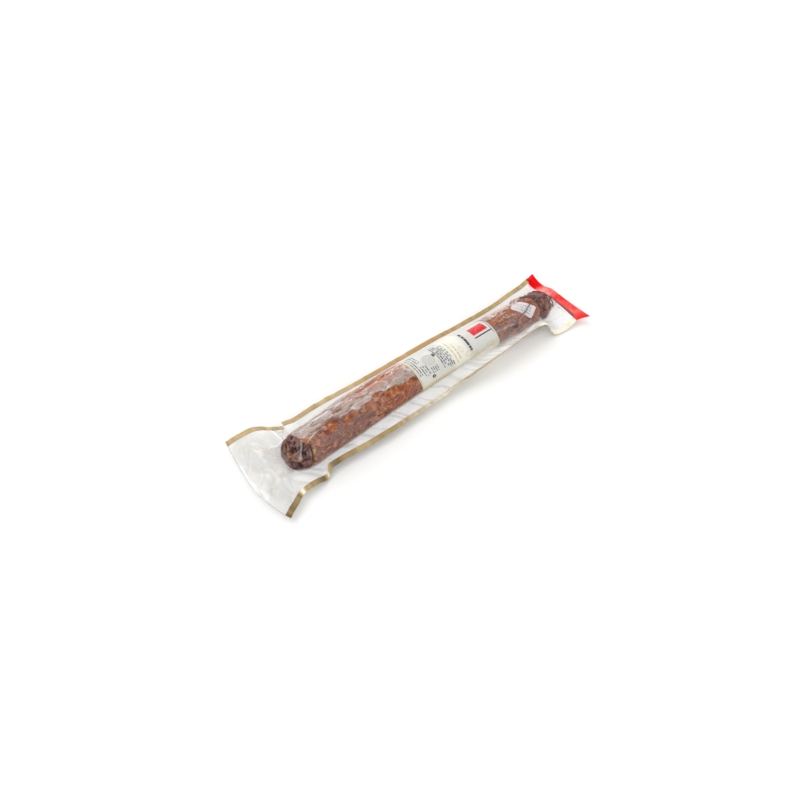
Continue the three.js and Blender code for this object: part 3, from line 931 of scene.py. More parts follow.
def bars(m, u, v, first, last, spacing, share, low, high, seed):
    """Rows of broken bars across the label, where small print would be."""
    place_in = m.math("DIVIDE", m.math("SUBTRACT", u, first), spacing)
    inside = m.math("FRACT", place_in)
    line = m.band(inside, 0.5 - share / 2, 0.5 + share / 2, 0.06)
    row = m.math("FLOOR", place_in)
    across = m.times(v, PRINT_SCALE)
    apart = m.times(row, PRINT_ROW_SHIFT)
    along = m.node("CombineXYZ", {"X": across, "Y": apart, "Z": seed}).outputs[0]
    broken = m.step(m.noise(1.0, 1.0, 0.5, vector=along), 0.43, 0.47)
    block = m.times(m.band(u, first, last, 0.1), m.band(v, low, high, 0.5))
    return m.times(m.times(line, broken), block)


def ellipse(m, u, v, centre, size, inner=0.0, soft=0.05):
    """1 inside an ellipse, or inside a ring when inner is over 0."""
    du = m.math("DIVIDE", m.math("SUBTRACT", u, centre[0]), size[0])
    dv = m.math("DIVIDE", m.math("SUBTRACT", v, centre[1]), size[1])
    reach = m.math("SQRT", m.math("ADD", m.times(du, du), m.times(dv, dv)))
    filled = m.step(reach, 1 + soft, 1 - soft)
    if inner <= 0:
        return filled
    return m.times(filled, m.step(reach, inner - soft, inner + soft))


def box(m, u, v, low, high, soft=0.2):
    return m.times(m.band(u, low[0], high[0], soft), m.band(v, low[1], high[1], soft))


# What the label carries, in mm from its near edge and round the loin from the front. Small
# print: where its rows start and end along the label, their spacing and their share of it,
# where they lie round the loin, and a seed
SMALL_PRINT = [
    dict(first=3.5, last=11.5, spacing=4.0, share=0.4, low=22, high=62, seed=1.0),
    dict(first=12, last=24, spacing=4.0, share=0.44, low=17, high=35, seed=2.0),
    dict(first=12, last=20, spacing=4.0, share=0.4, low=42, high=64, seed=3.0),
    dict(first=26, last=40, spacing=3.5, share=0.42, low=16, high=26, seed=4.0),
    dict(first=47, last=58, spacing=3.6, share=0.56, low=14, high=56, seed=5.0),
    dict(first=58, last=68, spacing=3.3, share=0.5, low=10, high=50, seed=6.0),
]
GILT_PRINT = [
    dict(first=71, last=75.6, spacing=4.6, share=0.44, low=9, high=50, seed=7.0),
    dict(first=78, last=82.6, spacing=4.6, share=0.5, low=12, high=40, seed=8.0),
    dict(first=0.6, last=4, spacing=3.4, share=0.36, low=10, high=66, seed=9.0),
]
BOLD_PRINT = [dict(first=102, last=108, spacing=6, share=0.7, low=15, high=50, seed=10.0)]
GREY_DISC = dict(centre=(33, 38), size=(10, 10))
FAINT_RINGS = [dict(centre=(98, 13), size=(8, 5)), dict(centre=(112, 8.5), size=(5, 3)),
               dict(centre=(141, 9), size=(8, 4)), dict(centre=(88, 26), size=(4, 6))]


def label_material():
    m = Shader("label_paper", Roughness=0.45, Specular_IOR_Level=0.3)
    u = m.field("along")
    v = m.field("around")
    white = m.mixed(m.noise(60, 3), rgb(203, 204, 200), rgb(219, 217, 211))
    cream = rgb(216, 207, 174)
    gilt = rgb(204, 184, 130)
    grey = rgb(84, 86, 94)
    black = rgb(26, 24, 24)
    brick = m.mixed(m.step(m.noise(160, 3), 0.42, 0.6), rgb(204, 18, 30), rgb(222, 46, 54))
    tint = m.mixed(m.step(v, 5.5, 3.5), white, cream)
    tint = m.mixed(m.band(u, -5, 1.6), tint, cream)
    tint = m.mixed(m.band(u, 66, 99, 6.0), tint, rgb(232, 230, 218))
    tint = m.mixed(m.times(ellipse(m, u, v, **GREY_DISC), 0.45), tint, rgb(176, 180, 178))
    tint = m.mixed(m.times(ellipse(m, u, v, **GREY_DISC, inner=0.86), 0.7), tint, gilt)
    for rows in SMALL_PRINT:
        tint = m.mixed(bars(m, u, v, **rows), tint, grey)
    for rows in GILT_PRINT:
        tint = m.mixed(bars(m, u, v, **rows), tint, gilt)
    for rows in BOLD_PRINT:
        tint = m.mixed(bars(m, u, v, **rows), tint, black)
    for ring in FAINT_RINGS:
        tint = m.mixed(m.times(ellipse(m, u, v, **ring, inner=0.55), 0.4), tint, gilt)
    tint = m.mixed(box(m, u, v, (43, 38), (47, 44)), tint, rgb(70, 72, 70))
    tint = m.mixed(ellipse(m, u, v, (25.5, 11.5), (3.2, 2.8), 0.35), tint, black)
    tint = m.mixed(box(m, u, v, (122, 33), (152, 49), 0.6), tint, brick)
    tint = m.mixed(box(m, u, v, (121, 27.5), (156, 29.5), 0.4), tint, black)
    tint = m.mixed(box(m, u, v, (156.4, 22), (157.4, 50)), tint, rgb(80, 80, 80))
    m.colour(tint)
    m.bump(m.noise(500, 4), 0.12, 0.0002)
    return m.material


def tag_material():
    m = Shader("tag_card", Roughness=0.55)
    u = m.field("along")
    v = m.field("across")
    white = m.mixed(m.noise(90, 3), rgb(206, 201, 203), rgb(221, 217, 218))
    grey = rgb(96, 96, 102)
    tint = m.mixed(bars(m, v, u, -8, 7, 5.0, 0.22, -12, 13, 5.0), white, grey)
    m.colour(tint)
    m.bump(m.noise(700, 3), 0.1, 0.0002)
    return m.material


def string_material():
    m = Shader("string", Roughness=0.8, Sheen_Weight=0.3)
    fibres = m.noise(900, 3, 0.6)
    drift = m.noise(70, 3)
    base = m.mixed(m.step(fibres, 0.35, 0.7), rgb(66, 36, 46), rgb(150, 106, 114))
    m.colour(m.mixed(m.times(m.step(drift, 0.5, 0.7), 0.6), base, rgb(48, 24, 32)))
    m.bump(fibres, 0.5, 0.0003)
    return m.material


def floor_material():
    m = Shader("floor", Roughness=0.9, Specular_IOR_Level=0.1)
    m.colour(m.mixed(m.noise(3, 2), rgb(244, 244, 243), rgb(247, 247, 246)))
    return m.material


casing = casing_material()
film = film_material()
gold = gold_material()
red = red_material()
paper = label_material()
card = tag_material()
twine = string_material()

# ---------------------------------------------------------------- the loin

LOIN_AROUND = 168
LOIN_FLOOR = 0.6


def make_loin():
    s = np.concatenate([
        [LOIN_NEAR + 0.1], LOIN_NEAR + stations(0.5, NEAR_DOME + 12, 0.9),
        stations(-167, 258, 1.8)[1:], stations(258, LOIN_FAR - 0.5, 0.9)[1:], [LOIN_FAR - 0.1],
    ])[:, None]
    angle = -np.arange(LOIN_AROUND)[None, :] * 360 / LOIN_AROUND % 360
    radius = full_radius(s, angle) * end_shape(s)
    grid = around_loin(s, angle, radius, -99)
    wrapped = np.concatenate([grid[:, -1:], grid, grid[:, :1]], 1)
    out = normals(wrapped)[:, 1:-1]
    tip = np.minimum(end_shape(s) / 0.35, 1)
    height = casing_height(s, angle) * tip
    grid = grid + out * height[..., None]
    grid[..., 2] = np.maximum(grid[..., 2], LOIN_FLOOR)
    rows = len(s)
    points = np.concatenate([grid.reshape(-1, 3), grid[0].mean(0)[None], grid[-1].mean(0)[None]])
    faces = [list(face) for face in grid_faces(rows, LOIN_AROUND, wrap=True)]
    first, last = rows * LOIN_AROUND, rows * LOIN_AROUND + 1
    for j in range(LOIN_AROUND):
        k = (j + 1) % LOIN_AROUND
        faces.append([first, k, j])
        faces.append([last, (rows - 1) * LOIN_AROUND + j, (rows - 1) * LOIN_AROUND + k])
    fields = {}
    for field, (values, at_tips) in casing_fields(s, angle).items():
        fields[field] = np.append(values.ravel(), [at_tips, at_tips])
    piece = new_piece("cured_loin", points, faces, casing, fields)
    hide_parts("loin")


# Patches where the film is drawn hard onto the casing and it shows orange: station, angle,
# half length along the loin in mm and half width round it in degrees
CLING_PATCHES = [
    (-138, 70, 13, 12), (-171, 78, 6, 6), (-52, 68, 9, 13), (-30, 58, 16, 10), (2, 50, 20, 12),
    (-98, 78, 7, 3), (-28, 122, 40, 14), (-110, 60, 14, 6), (198, 86, 22, 24), (226, 88, 16, 22),
    (262, 88, 10, 16),
]
# Painted highlight: the bright amber edge of the near end's gathers, where light shines through the film's
# fold
AMBER = [
    [(-190, 146), (-196.3, 124), (-199.4, 111), (-202.7, 96), (-204.6, 75), (-205.6, 60), (-207, 50)],
    [(-207.5, 44.5), (-206.3, 27.5), (-202.3, 31.5), (-197.5, 35), (-193.6, 36.5)],
    [(-172, 39), (-174, 24), (-175, 6), (-176, -14)],
]
# Where the casing's lower front is redder, towards the label, and how much
WARM_FRONT = (-76, -48, 12, 24)
WARM_FRONT_SHARE = 0.5
cling_warp = Noise(31, period=24)
cling_warp_fine = Noise(32, period=80)


# Angles round the loin between which its upper side starts and fades, with the share of orange
# there, and those where its front side fades above and below
UPPER_SIDE = (40, 75, 200, 230)
UPPER_ORANGE = 0.3
FRONT_ABOVE = (58, 80)
FRONT_BELOW = (280, 320)
# Stations where the gathers of the far end darken, and the width in mm of the painted amber highlight lines
FAR_GATHERS = (272, 279)
AMBER_WIDTH = 1.6


def casing_fields(s, angle):
    """What colours the casing: for each field its values, and its value at the loin's two tips."""
    around = angle / 360
    warp = 0.55 * cling_warp(s / 12, around * 24) + 0.35 * cling_warp_fine(s / 4, around * 80)
    cling = np.zeros(np.broadcast_shapes(np.shape(s), np.shape(angle)))
    for at, turned, length, width in CLING_PATCHES:
        away = np.hypot((s - at) / length, (angle - turned) / width)
        cling = np.maximum(cling, smoothstep(1.15 - away + warp, 0, 0.45))
    upper = UPPER_ORANGE * within(angle, UPPER_SIDE)
    front = np.maximum(1 - smoothstep(angle, *FRONT_ABOVE), smoothstep(angle, *FRONT_BELOW))
    warm_front = WARM_FRONT_SHARE * within(s + 6 * warp, WARM_FRONT) * front
    cling = np.clip(np.maximum.reduce([cling, upper + 0.25 * warp, warm_front + 0.2 * warp * front]), 0, 1)
    near = 1 - smoothstep(s + 1.2 * warp - rim_station(angle), -2, 3)
    far = smoothstep(s + 2 * warp, *FAR_GATHERS)
    gathered = np.clip(near + 0.6 * far, 0, 1)
    return {
        "clinging": (cling, 0),
        "gathered": (gathered, 1),
        "veins": (vein_and_crease_shade_share(s, angle), 0),
        "pocket": (pocket_share(s, angle)[0], 0),
        "amber": (np.clip(line_share(AMBER, AMBER_WIDTH, s, angle) * (0.7 + 0.6 * warp), 0, 1), 0),
    }


# ---------------------------------------------------------------- label, tag and string

def make_label():
    count = 150
    turns = 120
    square = np.linspace(LABEL_NEAR, LABEL_FAR, count)[:, None]
    angle = np.linspace(LABEL_TO, LABEL_FROM, turns)[None, :]
    s = square + LABEL_SKEW * (angle - LABEL_SKEW_ANGLE)
    lift = LABEL_REST + 0.8 * casing_height(s, angle) + 0.25
    grid = around_loin(s, angle, full_radius(s, angle) + lift, LOIN_FLOOR + 0.4)
    around = np.radians(angle) * body_radius(s)
    fields = {"along": square - LABEL_NEAR + 0 * angle, "around": around}
    piece = slab("paper_label", grid, LABEL, paper, fields)
    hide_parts("label")


TAG_CORNER = 3.5


def make_tag():
    rows, columns = 46, 28
    along = np.linspace(-TAG_LENGTH / 2, TAG_LENGTH / 2, rows)[:, None]
    across = np.linspace(TAG_WIDTH / 2, -TAG_WIDTH / 2, columns)[None, :]
    end = np.maximum(np.abs(along) - (TAG_LENGTH / 2 - TAG_CORNER), 0) / TAG_CORNER
    across = across * (1 - 0.16 * end ** 2)
    turn = math.radians(TAG_TURN)
    s = TAG_STATION + along * math.cos(turn) - across * math.sin(turn)
    arc = along * math.sin(turn) + across * math.cos(turn)
    angle = TAG_ANGLE + np.degrees(arc / body_radius(TAG_STATION))
    curl = 0.5 * smoothstep(np.abs(along) / TAG_LENGTH, 0.3, 0.5)
    lift = TAG_REST + TAG / 2 + curl
    grid = around_loin(s, angle, full_radius(s, angle) + lift, LOIN_FLOOR)
    fields = {"along": along + 0 * across, "across": across + 0 * along}
    piece = slab("card_tag", grid, TAG, card, fields)
    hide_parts("tag")


def on_loin(route, lift):
    """Points on the casing for a route of (station, angle) places."""
    route = np.array(route, float)
    s, angle = route[:, 0], route[:, 1]
    return around_loin(s, angle, full_radius(s, angle) + lift, LOIN_FLOOR + STRING / 2)


KNOT_ROUTE = [(0, 0), (2.4, 3), (3.6, -2), (0.5, -6), (-3, -3), (-2.6, 4), (1.5, 7), (4.6, 2)]
KNOT_PLACES = [(218, 31), (243, 127)]


def knot_lines():
    """Small overhand knots, as lines over the casing."""
    lines = []
    for at, turned in KNOT_PLACES:
        route = catmull([(at + ds, turned + da) for ds, da in KNOT_ROUTE], 8)
        lift = LOOP_REST + 1.1 + 0.9 * np.sin(np.linspace(0, 3 * np.pi, len(route)))
        lines.append(on_loin(route, lift))
    return lines


def make_loop():
    lines = [on_loin(loop_line, loop_lift(loop_line[:, 0]))] + knot_lines()
    piece = string_piece("string_with_tag", lines, twine)
    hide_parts("string_loop")


TIE_TURNS = 2


def make_tie():
    turns = np.linspace(0, 360 * TIE_TURNS, 160 * TIE_TURNS)
    wind = mix(-0.9, 0.9, turns / (360 * TIE_TURNS)) + 0.4 * np.sin(np.radians(turns * 1.5))
    s = tie_station(turns) + wind * 1.4
    radius = full_radius(s, turns % 360) - TIE_GROOVE + STRING / 2 + 0.5
    line = around_loin(s, turns, radius, LOIN_FLOOR + STRING / 2)
    piece = string_piece("tie_round_far_end", [line], twine)
    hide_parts("string_tie")


# Loose turns and cut ends of the string at the loin's far tip, as (station, angle, lift)
END_STRINGS = [
    [
        (288, 128, 1.2), (294, 104, 1.6), (298, 82, 2.0), (300, 62, 2.6), (303, 44, 2.2), (305, 26, 1.4),
        (306, 8, 1),
    ],
    [(272, 132, 1.2), (270, 112, 1.4), (274, 96, 2.4), (283, 84, 1.8), (292, 76, 1.8), (297, 64, 1.6)],
    [(300, 60, 1.4), (304, 66, 3.2), (309, 62, 4.4), (313, 54, 4.6)],
]


def make_end_strings():
    lines = []
    for route in END_STRINGS:
        line = catmull(route, 10)
        s, angle, lift = line.T
        shape = dome(LOIN_FAR + 3 - s, FAR_DOME + 3)
        lines.append(around_loin(s, angle, full_radius(s, angle) * shape + lift, LOIN_FLOOR))
    string_piece("string_ends", lines, twine)


# ---------------------------------------------------------------- the bag

def bag_stations(step):
    return np.concatenate([
        stations(BAG_NEAR, -214, 1.3 * step), stations(-214, -158, 0.8 * step)[1:],
        stations(-158, 24, 1.15 * step)[1:], stations(24, 176, 1.4 * step)[1:],
        stations(176, HEADER_NEAR, 1.0 * step)[1:],
    ])


# How the film lies over the loin, in mm: how far down it follows the casing's relief, how far it
# clears the label and how soft the label's edge is under it, and how much higher it stands where
# it is loose, along the border of a loose part and on long and short creases
FILM_SINK = 1.2
LABEL_CLEARANCE = 0.25
LABEL_EDGE = 2
LOOSE_RISE = 0.7
BORDER_RISE = 0.6
LONG_CREASE = 1.2
SHORT_CREASE = 0.6
# How much of the casing's relief shows through the label, and of the creases on it
RELIEF_IN_LABEL = 0.8
CREASES_ON_LABEL = 0.25
# The share of the loin's thickness past which the relief of its domed ends is whole
END_FULL = 0.35
# How milky the film is: everywhere, more on the bare casing past the near end's gathers, more near
# the far end, where loose, on the border of a loose part, and at least this on a fold
CLEAR_HAZE = 0.015
CASING_HAZE = 0.02
PAST_GATHERS = (-186, -172)
FAR_HAZE = 0.08
FAR_PART = (176, 186, 240, 262)
LOOSE_HAZE = 0.46
BORDER_HAZE = 0.12
FOLD_HAZE = 0.85


def loin_film(s, angle):
    """Height in mm of the film over the smooth loin, how milky it is there, and how white it is painted:
    painted highlights on its folds and loose wrinkles.
    """
    full = np.minimum(end_shape(np.clip(s, LOIN_NEAR, LOIN_FAR)) / END_FULL, 1)
    relief = casing_height(s, angle)
    dent = dents(s, angle)
    held = (dent + np.maximum(relief - dent, -FILM_SINK)) * full
    held = np.maximum(held, label_height(s, angle) + RELIEF_IN_LABEL * relief + LABEL_CLEARANCE)
    held = np.maximum(held, tag_height(s, angle))
    held = np.maximum(held, string_height(s, angle))
    far_edge = LABEL_FAR - LABEL_NEAR
    on_paper = (-LABEL_EDGE, LABEL_EDGE, far_edge - LABEL_EDGE, far_edge + LABEL_EDGE)
    off_paper = 1 - within(label_place(s, angle), on_paper)
    loose, border = looseness(s, angle)
    loose = loose * off_paper
    border = border * off_paper
    long, short = creases(s, angle)
    fold_height, fold_highlight = film_folds(s, angle)
    wrinkle = (0.2 + 0.8 * loose) * (LONG_CREASE * long + SHORT_CREASE * short)
    wrinkle = wrinkle * mix(CREASES_ON_LABEL, 1, off_paper)
    height = FILM_REST + held + LOOSE_RISE * loose + BORDER_RISE * border + wrinkle + fold_height
    sunk = vein_and_crease_shade_share(s, angle) * off_paper
    thin = CLEAR_HAZE + CASING_HAZE * off_paper * smoothstep(s, *PAST_GATHERS)
    thin = thin + FAR_HAZE * within(s, FAR_PART) * off_paper
    haze = thin + LOOSE_HAZE * loose * (1 - 0.75 * sunk) + BORDER_HAZE * border
    haze = haze + (0.02 + 0.2 * loose) * wrinkle
    # Painted highlights on the folds and on the crests of loose wrinkles
    white = np.maximum(fold_highlight, 0.5 * loose * wrinkle)
    return height, mix(haze, FOLD_HAZE, fold_highlight), white


# Where the front flange is clearer beside the loin, so that the loin shows through
CLEAR_FLANGE = (70, 196, 262, 276)
# The front flange's creases: how far they run along the bag for each mm across it and how much
# that varies, their spacing and length in mm, the part of the noise that is a crest, and its height
SLANT = 1.3
SLANT_SWAY = 0.5
SLANT_SPACING = 4.4
SLANT_LENGTH = 35
SLANT_CREST = (-0.15, 0.8)
SLANT_HEIGHT = 1.5


def front_flange_film(s, across, near_loin):
    """The same of the front flange, whose creases slant out from the loin to the seam. Its white is painted
    light, greyer along the crease crests as painted shade.
    """
    slant = s + (SLANT + SLANT_SWAY * flange_swell(s / 35, 3.0)) * across
    crest = smoothstep(flange_creases(slant / SLANT_SPACING, across / SLANT_LENGTH), *SLANT_CREST)
    swell = flange_swell(s / 22, across / 12 + 9)
    clear = within(s, CLEAR_FLANGE) * smoothstep(near_loin, 0.1, 0.8)
    haze = (0.76 + 0.06 * swell - 0.1 * crest) * (1 - 0.85 * clear)
    height = (SLANT_HEIGHT * crest + 0.7 * swell) * (1 - smoothstep(near_loin, 0.6, 1))
    return height, haze, 0.86 + 0.1 * swell - 0.38 * crest


def back_flange_film(s, across):
    """The same of the back flange, which is nearly smooth. Its white is painted light, brighter on its
    swells.
    """
    swell = flange_swell(s / 26 + 40, across / 14 + 3)
    return 0.8 * swell, 0.55 + 0.08 * swell, 0.45 + 0.1 * swell


def fan_film(s, q):
    """The same of the fan, with soft swells and a few faint creases. Its white is painted shading, brighter
    on swells and dents.
    """
    crease = ridges(fan_creases(s / 24 + q * 3, q * 5 + s / 40), 10)
    swell = fan_swell(s / 22, q * 5)
    dent = fan_swell(s / 7 + 30, q * 15) * (0.4 + 0.9 * smoothstep(q, 0.35, 0.7))
    white = 0.1 + 0.35 * swell + 0.3 * dent
    return 2.4 * swell + 1.0 * dent + 0.5 * crease, 0.46 + 0.06 * crease + 0.1 * swell + 0.05 * dent, white


# Stations over which the fan's film gives way to that of the loin and the flanges
FAN_FILM = (-226, -206)


def fan_share(s):
    return 1 - smoothstep(s, *FAN_FILM)


def film_relief(s, angle, on_loin_share, near_loin, q, across):
    """Height, milkiness and painted light of the film anywhere on the bag."""
    front_share = smoothstep(q, 0.4, 0.6)
    flanges = zip(back_flange_film(s, across), front_flange_film(s, across, near_loin))
    flange = [mix(back, front, front_share) for back, front in flanges]
    parts = zip(flange, loin_film(s, angle), fan_film(s, q))
    return [mix(mix(side, loin, on_loin_share), fan, fan_share(s)) for side, loin, fan in parts]


# Stations where the veil is rosy and where it is painted white with glare, each by where this
# starts, is full, fades and ends
ROSY_BESIDE_LABEL = (-118, -50, 18, 24)
ROSY_FAR_END = (176, 182, 262, 290)
GLARE_PATCH = (283, 296, 340, 350)


def rosiness(s, angle):
    """How much the meat behind colours the veil, along its upper back edge."""
    beside_label = within(s, ROSY_BESIDE_LABEL) * smoothstep(angle + 8 * ragged(s / 9, 3.0), 84, 104)
    at_far_end = 0.5 * within(s, ROSY_FAR_END) * smoothstep(angle, 88, 100)
    return np.maximum(beside_label, at_far_end)


def glare_patch(s, q):
    """Painted glare: the film beside the loin's far end, painted white where it reflects the light."""
    return within(s, GLARE_PATCH) * smoothstep(q, 0.62, 0.74)


# Faint rings printed on the film: (station, share of the bag's width) of their centres
GILT_RINGS = [(-248, 0.17), (-226, 0.26), (-250, 0.44), (-232, 0.58), (-248, 0.72)]
GILT_RADIUS = 3.6
GILT_LINE = 1.0


def gilt_rings(s, q, width):
    """How much faint print a place on the film bears, given the bag's width there in mm."""
    print_share = np.zeros(np.shape(q))
    for at, share in GILT_RINGS:
        away = np.hypot(s - at, (q - share) * width)
        print_share = np.maximum(print_share, np.exp(-(((away - GILT_RADIUS) / GILT_LINE) ** 2)))
    return print_share


def gone_across(grid):
    """Distance of each point of a grid from its row's nearer end."""
    run = np.linalg.norm(np.diff(grid, axis=1), axis=-1)
    gone = np.concatenate([np.zeros((len(grid), 1)), np.cumsum(run, 1)], 1)
    return np.minimum(gone, gone[:, -1:] - gone)


EDGE_HOLD = 5
# How much of its milkiness each web shows, since the two are seen one through the other
MILKINESS = {1: 1.0, -1: 0.45}


def make_web(name, side, node, step, counts):
    s = bag_stations(step)
    grid, angle, on_loin_share, near_loin, q = web_grid(s, side, *counts)
    gone = gone_across(grid)
    station = s[:, None] + 0 * q
    height, haze, white = film_relief(station, angle, on_loin_share, near_loin, q, gone)
    ends = smoothstep(station, BAG_NEAR, BAG_NEAR + 4) * (1 - smoothstep(station, 312, HEADER_NEAR))
    hold = smoothstep(gone, 0, EDGE_HOLD) * np.maximum(ends, 0.15)
    together = 1 if side > 0 else mix(-1, 1, on_loin_share)
    grid = grid + normals(grid) * (side * together * height * hold + side * 0.12)[..., None]
    grid[..., 2] = np.maximum(grid[..., 2], FILM_FLOOR)
    # Painted glare on the film beside the loin's far end
    glare = glare_patch(station, q)
    cut = smoothstep(-station, -BAG_NEAR - 1.2, -BAG_NEAR - 0.4)
    gilt = gilt_rings(station, q, gone.max(1, keepdims=True) * 2) if side > 0 else 0 * q
    haze = mix(mix(haze, 0.85, glare), 0.9, 0.8 * cut) * MILKINESS[side]
    fields = {
        "haze": np.clip(haze + 0.25 * gilt, 0, 0.95),
        "whiteness": np.clip(np.maximum(white, glare), 0, 1),
        "rosy": rosiness(station, angle),
        "plain": np.maximum(1 - on_loin_share, fan_share(station)) + 0 * q,
        "cut": cut,
        "gilt": 0.55 * gilt,
    }
    piece = sheet(name, grid, film, fields)
    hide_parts(node)


SEAM_SHEET = 0.35
SEAM_COLUMNS = 9
SEAM_STEP = 0.9
seam_wave = Noise(41)

# How the print of the seams looks along them, from 0 dark over 0.5 gold to 1 cream: painted reflection, dark
# where it reflects dark surroundings and cream as a painted highlight
BACK_PAINTED_REFLECTION = [
    (-266, 0.4), (-225, 0.5), (-200, 0.36), (-184, 0.42), (-170, 0.5), (-150, 0.46), (-60, 0.48), (60, 0.46),
    (120, 0.42), (200, 0.4), (260, 0.46), (300, 0.34), (318, 0.36),
]
FRONT_PAINTED_REFLECTION = [
    (-266, 0.1), (-234, 0.14), (-222, 0.42), (-213, 1), (-208, 0.7), (-203, 0.4), (-197, 0.26), (-191, 0.46),
    (-184, 0.2), (-177, 0.12), (-172, 0.4), (-168, 0.85), (-163, 0.5), (-158, 0.28), (-150, 0.22),
    (-140, 0.28), (-120, 0.36), (-60, 0.46), (-30, 0.6), (10, 0.72), (60, 0.76), (90, 0.62),
    (140, 0.5), (200, 0.58), (250, 0.78), (264, 0.95), (337, 0.95),
]
# Where the back seam's gold is warmest: a painted reflection of the loin beside it
GOLD_LOIN_REFLECTION = (-90, 10, 90, 190)
# The back seam is folded over itself where the fan begins: the stations its two runs span, and
# the stations past which each goes straight on
BACK_RUNS = [dict(span=(BAG_NEAR, -181), straight=(BAG_NEAR, -198), rise=0.5),
             dict(span=(-181, HEADER_NEAR), straight=(-180, HEADER_NEAR), rise=0)]
FRONT_RUNS = [dict(span=(BAG_NEAR, HEADER_NEAR), straight=(BAG_NEAR, HEADER_NEAR), rise=0)]


def seam_run(k, span, straight, rise):
    """Grid of points of one run of a side seam, from its outer edge inwards, and its stations.
    Past its straight stations the run goes on as it was heading, with some rise per mm."""
    s = bag_stations(SEAM_STEP)
    s = s[(s >= span[0]) & (s <= span[1])]
    held = np.clip(s, *straight)
    inset = np.linspace(0, 1, SEAM_COLUMNS)
    grid = np.stack([from_edge(held, k, SEAM_WIDTH * t)[0] for t in inset], 1)
    beyond = s - held
    ahead = (flat_point(held, k) - flat_point(held - 3 * np.sign(beyond), k)) / 3
    ahead[:, 2] += rise
    return grid + (ahead * np.abs(beyond)[:, None])[:, None], s, inset


def make_seam(name, k, node, runs, painted_reflections):
    painted_reflection_at = through(painted_reflections)
    for number, run in enumerate(runs):
        grid, s, inset = seam_run(k, **run)
        if k == 1:
            grid = grid[:, ::-1]
        free = (1 - inset if k == 0 else inset)[None, :]
        wave = 0.9 * seam_wave(s / 13, 5.0 + 9 * k) + 0.35 * seam_wave(s / 4.5, 20.0 + 9 * k)
        grid = grid + normals(grid) * (wave[:, None] * free)[..., None]
        # Painted reflection along the seam, and on the back seam a painted reflection of the loin
        tone = painted_reflection_at(s)[:, None] + 0.12 * seam_wave(s / 5, 40.0)[:, None] + 0 * free
        warm = (0.8 * within(s, GOLD_LOIN_REFLECTION) if k == 0 else 0 * s)[:, None] + 0 * free
        fields = {"tone": tone, "warm": warm}
        piece = slab(f"{name}_{number + 1}", grid, SEAM_SHEET, gold, fields)
        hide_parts(node)


header_swell = Noise(51)
header_crease = Noise(52)
header_grain = Noise(53)
# How much painted sheen lightens the header's red across the bag, as (share of the width, sheen): pink
# painted highlights
HEADER_PAINTED_SHEEN = [
    (0, 0.1), (0.05, 0), (0.17, 0), (0.22, 0.4), (0.3, 0.75), (0.4, 0.7), (0.46, 0.34), (0.5, 0.16),
    (0.56, 0.2), (0.62, 0.34), (0.72, 0.3), (0.84, 0.4), (0.92, 0.22), (1, 0.08),
]
header_painted_sheen = through(HEADER_PAINTED_SHEEN)


def make_header():
    s = np.linspace(HEADER_NEAR, HEADER_NEAR + HEADER_WIDTH, 30)[:, None]
    q = np.linspace(0, 1, 200)[None, :]
    grid = flat_point(s, q)
    along = (s - HEADER_NEAR) / HEADER_WIDTH
    crease = ridges(header_crease(q * 14 + along * 1.6, along * 1.3), 5)
    relief = 2.2 * header_swell(q * 6, along * 0.9) + 1.5 * crease
    relief = relief * smoothstep(along, -0.1, 0.6)
    grid = grid + normals(grid) * relief[..., None]
    grain = header_grain(q * 26 + along * 2, along * 3)
    # Painted sheen, brighter on the creases
    pale = header_painted_sheen(q) * (1.1 - 0.5 * along + 0.5 * crease + 0.3 * grain)
    inner = (1 - smoothstep(along, 0.1, 0.34)) * smoothstep(q, 0.42, 0.48) * (1 - smoothstep(q, 0.9, 0.95))
    fields = {"pale": np.clip(pale, 0, 1), "shade": 0.8 * inner}
    piece = slab("header_band_red", grid, SEAM_SHEET, red, fields)
    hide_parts("header_band")


# ---------------------------------------------------------------- stage, lights and camera

def make_floor():
    side = 6.0
    mesh = bpy.data.meshes.new("floor")
    corners = [(-side, -side, 0), (side, -side, 0), (side, side, 0), (-side, side, 0)]
    mesh.from_pydata(corners, [], [(0, 1, 2, 3)])
    mesh.materials.append(floor_material())
    floor = bpy.data.objects.new("floor", mesh)
    bpy.context.scene.collection.objects.link(floor)


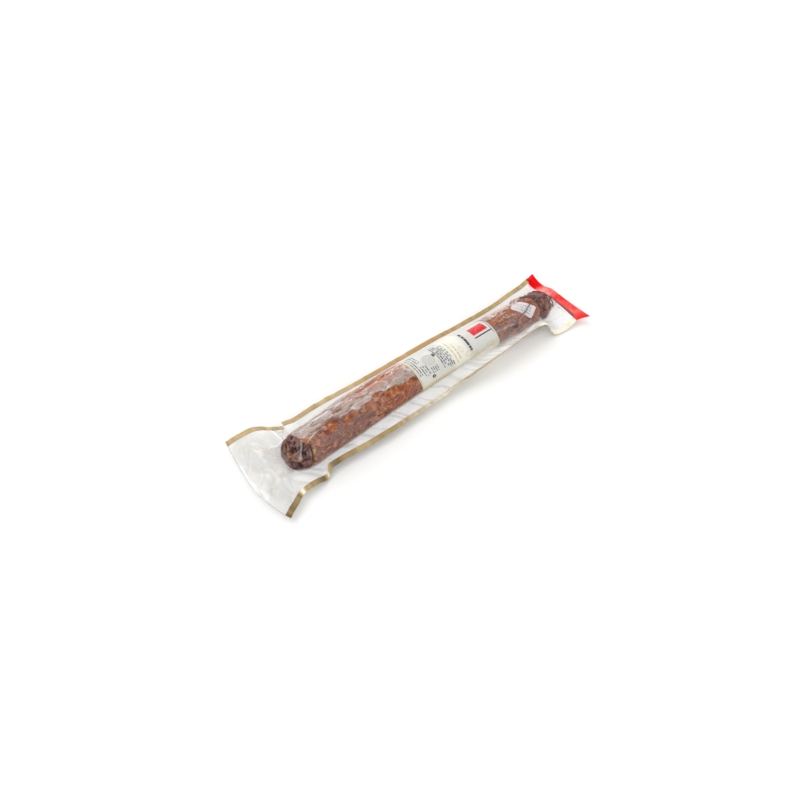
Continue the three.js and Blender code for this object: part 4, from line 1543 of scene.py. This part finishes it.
# The key light's direction and softness, and panels that only show as reflections, each with
# its place in metres, its size and its power
SKY_STRENGTH = 1.0
KEY_FROM = (-0.28, 0.68, 1.1)
KEY_SOFTNESS = 45
KEY_STRENGTH = 0.72
GLEAMS = [
    ("gleam_behind", (0.45, 1.3, 0.72), (1.5, 0.3), 11),
    ("gleam_left", (-0.9, 0.5, 1.0), (0.4, 0.4), 3),
]


def new_lamp(name, data, place_at):
    """A lamp at a place, turned towards the origin."""
    lamp = bpy.data.objects.new(name, data)
    bpy.context.scene.collection.objects.link(lamp)
    away = np.array(place_at, float)
    lamp.location = away
    away /= np.linalg.norm(away)
    lamp.rotation_euler = (math.acos(away[2]), 0, math.atan2(away[1], away[0]) + math.pi / 2)
    return lamp


def make_lights():
    world = bpy.data.worlds.new("studio")
    bpy.context.scene.world = world
    world.use_nodes = True
    backdrop = world.node_tree.nodes["Background"]
    backdrop.inputs["Color"].default_value = (1, 1, 1, 1)
    backdrop.inputs["Strength"].default_value = SKY_STRENGTH
    key = bpy.data.lights.new("key", "SUN")
    key.angle = math.radians(KEY_SOFTNESS)
    key.energy = KEY_STRENGTH
    new_lamp("key", key, KEY_FROM)
    for name, place_at, size, power in GLEAMS:
        panel = bpy.data.lights.new(name, "AREA")
        panel.shape = "RECTANGLE"
        panel.size, panel.size_y = size
        panel.energy = power
        lamp = new_lamp(name, panel, place_at)
        lamp.visible_diffuse = False


def make_camera():
    data = bpy.data.cameras.new("camera")
    data.sensor_width = SENSOR
    data.lens = FOCAL_PIXELS * SENSOR / PHOTO_SIDE
    camera = bpy.data.objects.new("camera", data)
    bpy.context.scene.collection.objects.link(camera)
    camera.location = place(CAMERA_PLACE)
    camera.rotation_euler = (math.radians(90 - CAMERA_PITCH), 0, math.radians(CAMERA_HEADING - 90))
    bpy.context.scene.camera = camera


make_camera()
make_loin()
make_label()
make_tag()
make_loop()
make_tie()
make_end_strings()
make_web("film_upper_web", 1, "film_top", 1.0, (10, 118, 16))
make_web("film_lower_web", -1, "film_base", 1.6, (8, 80, 12))
make_seam("seam_stripe_back", 0, "seam_back", BACK_RUNS, BACK_PAINTED_REFLECTION)
make_seam("seam_stripe_front", 1, "seam_front", FRONT_RUNS, FRONT_PAINTED_REFLECTION)
make_header()
make_floor()
make_lights()
bpy.context.scene.view_settings.view_transform = "Standard"
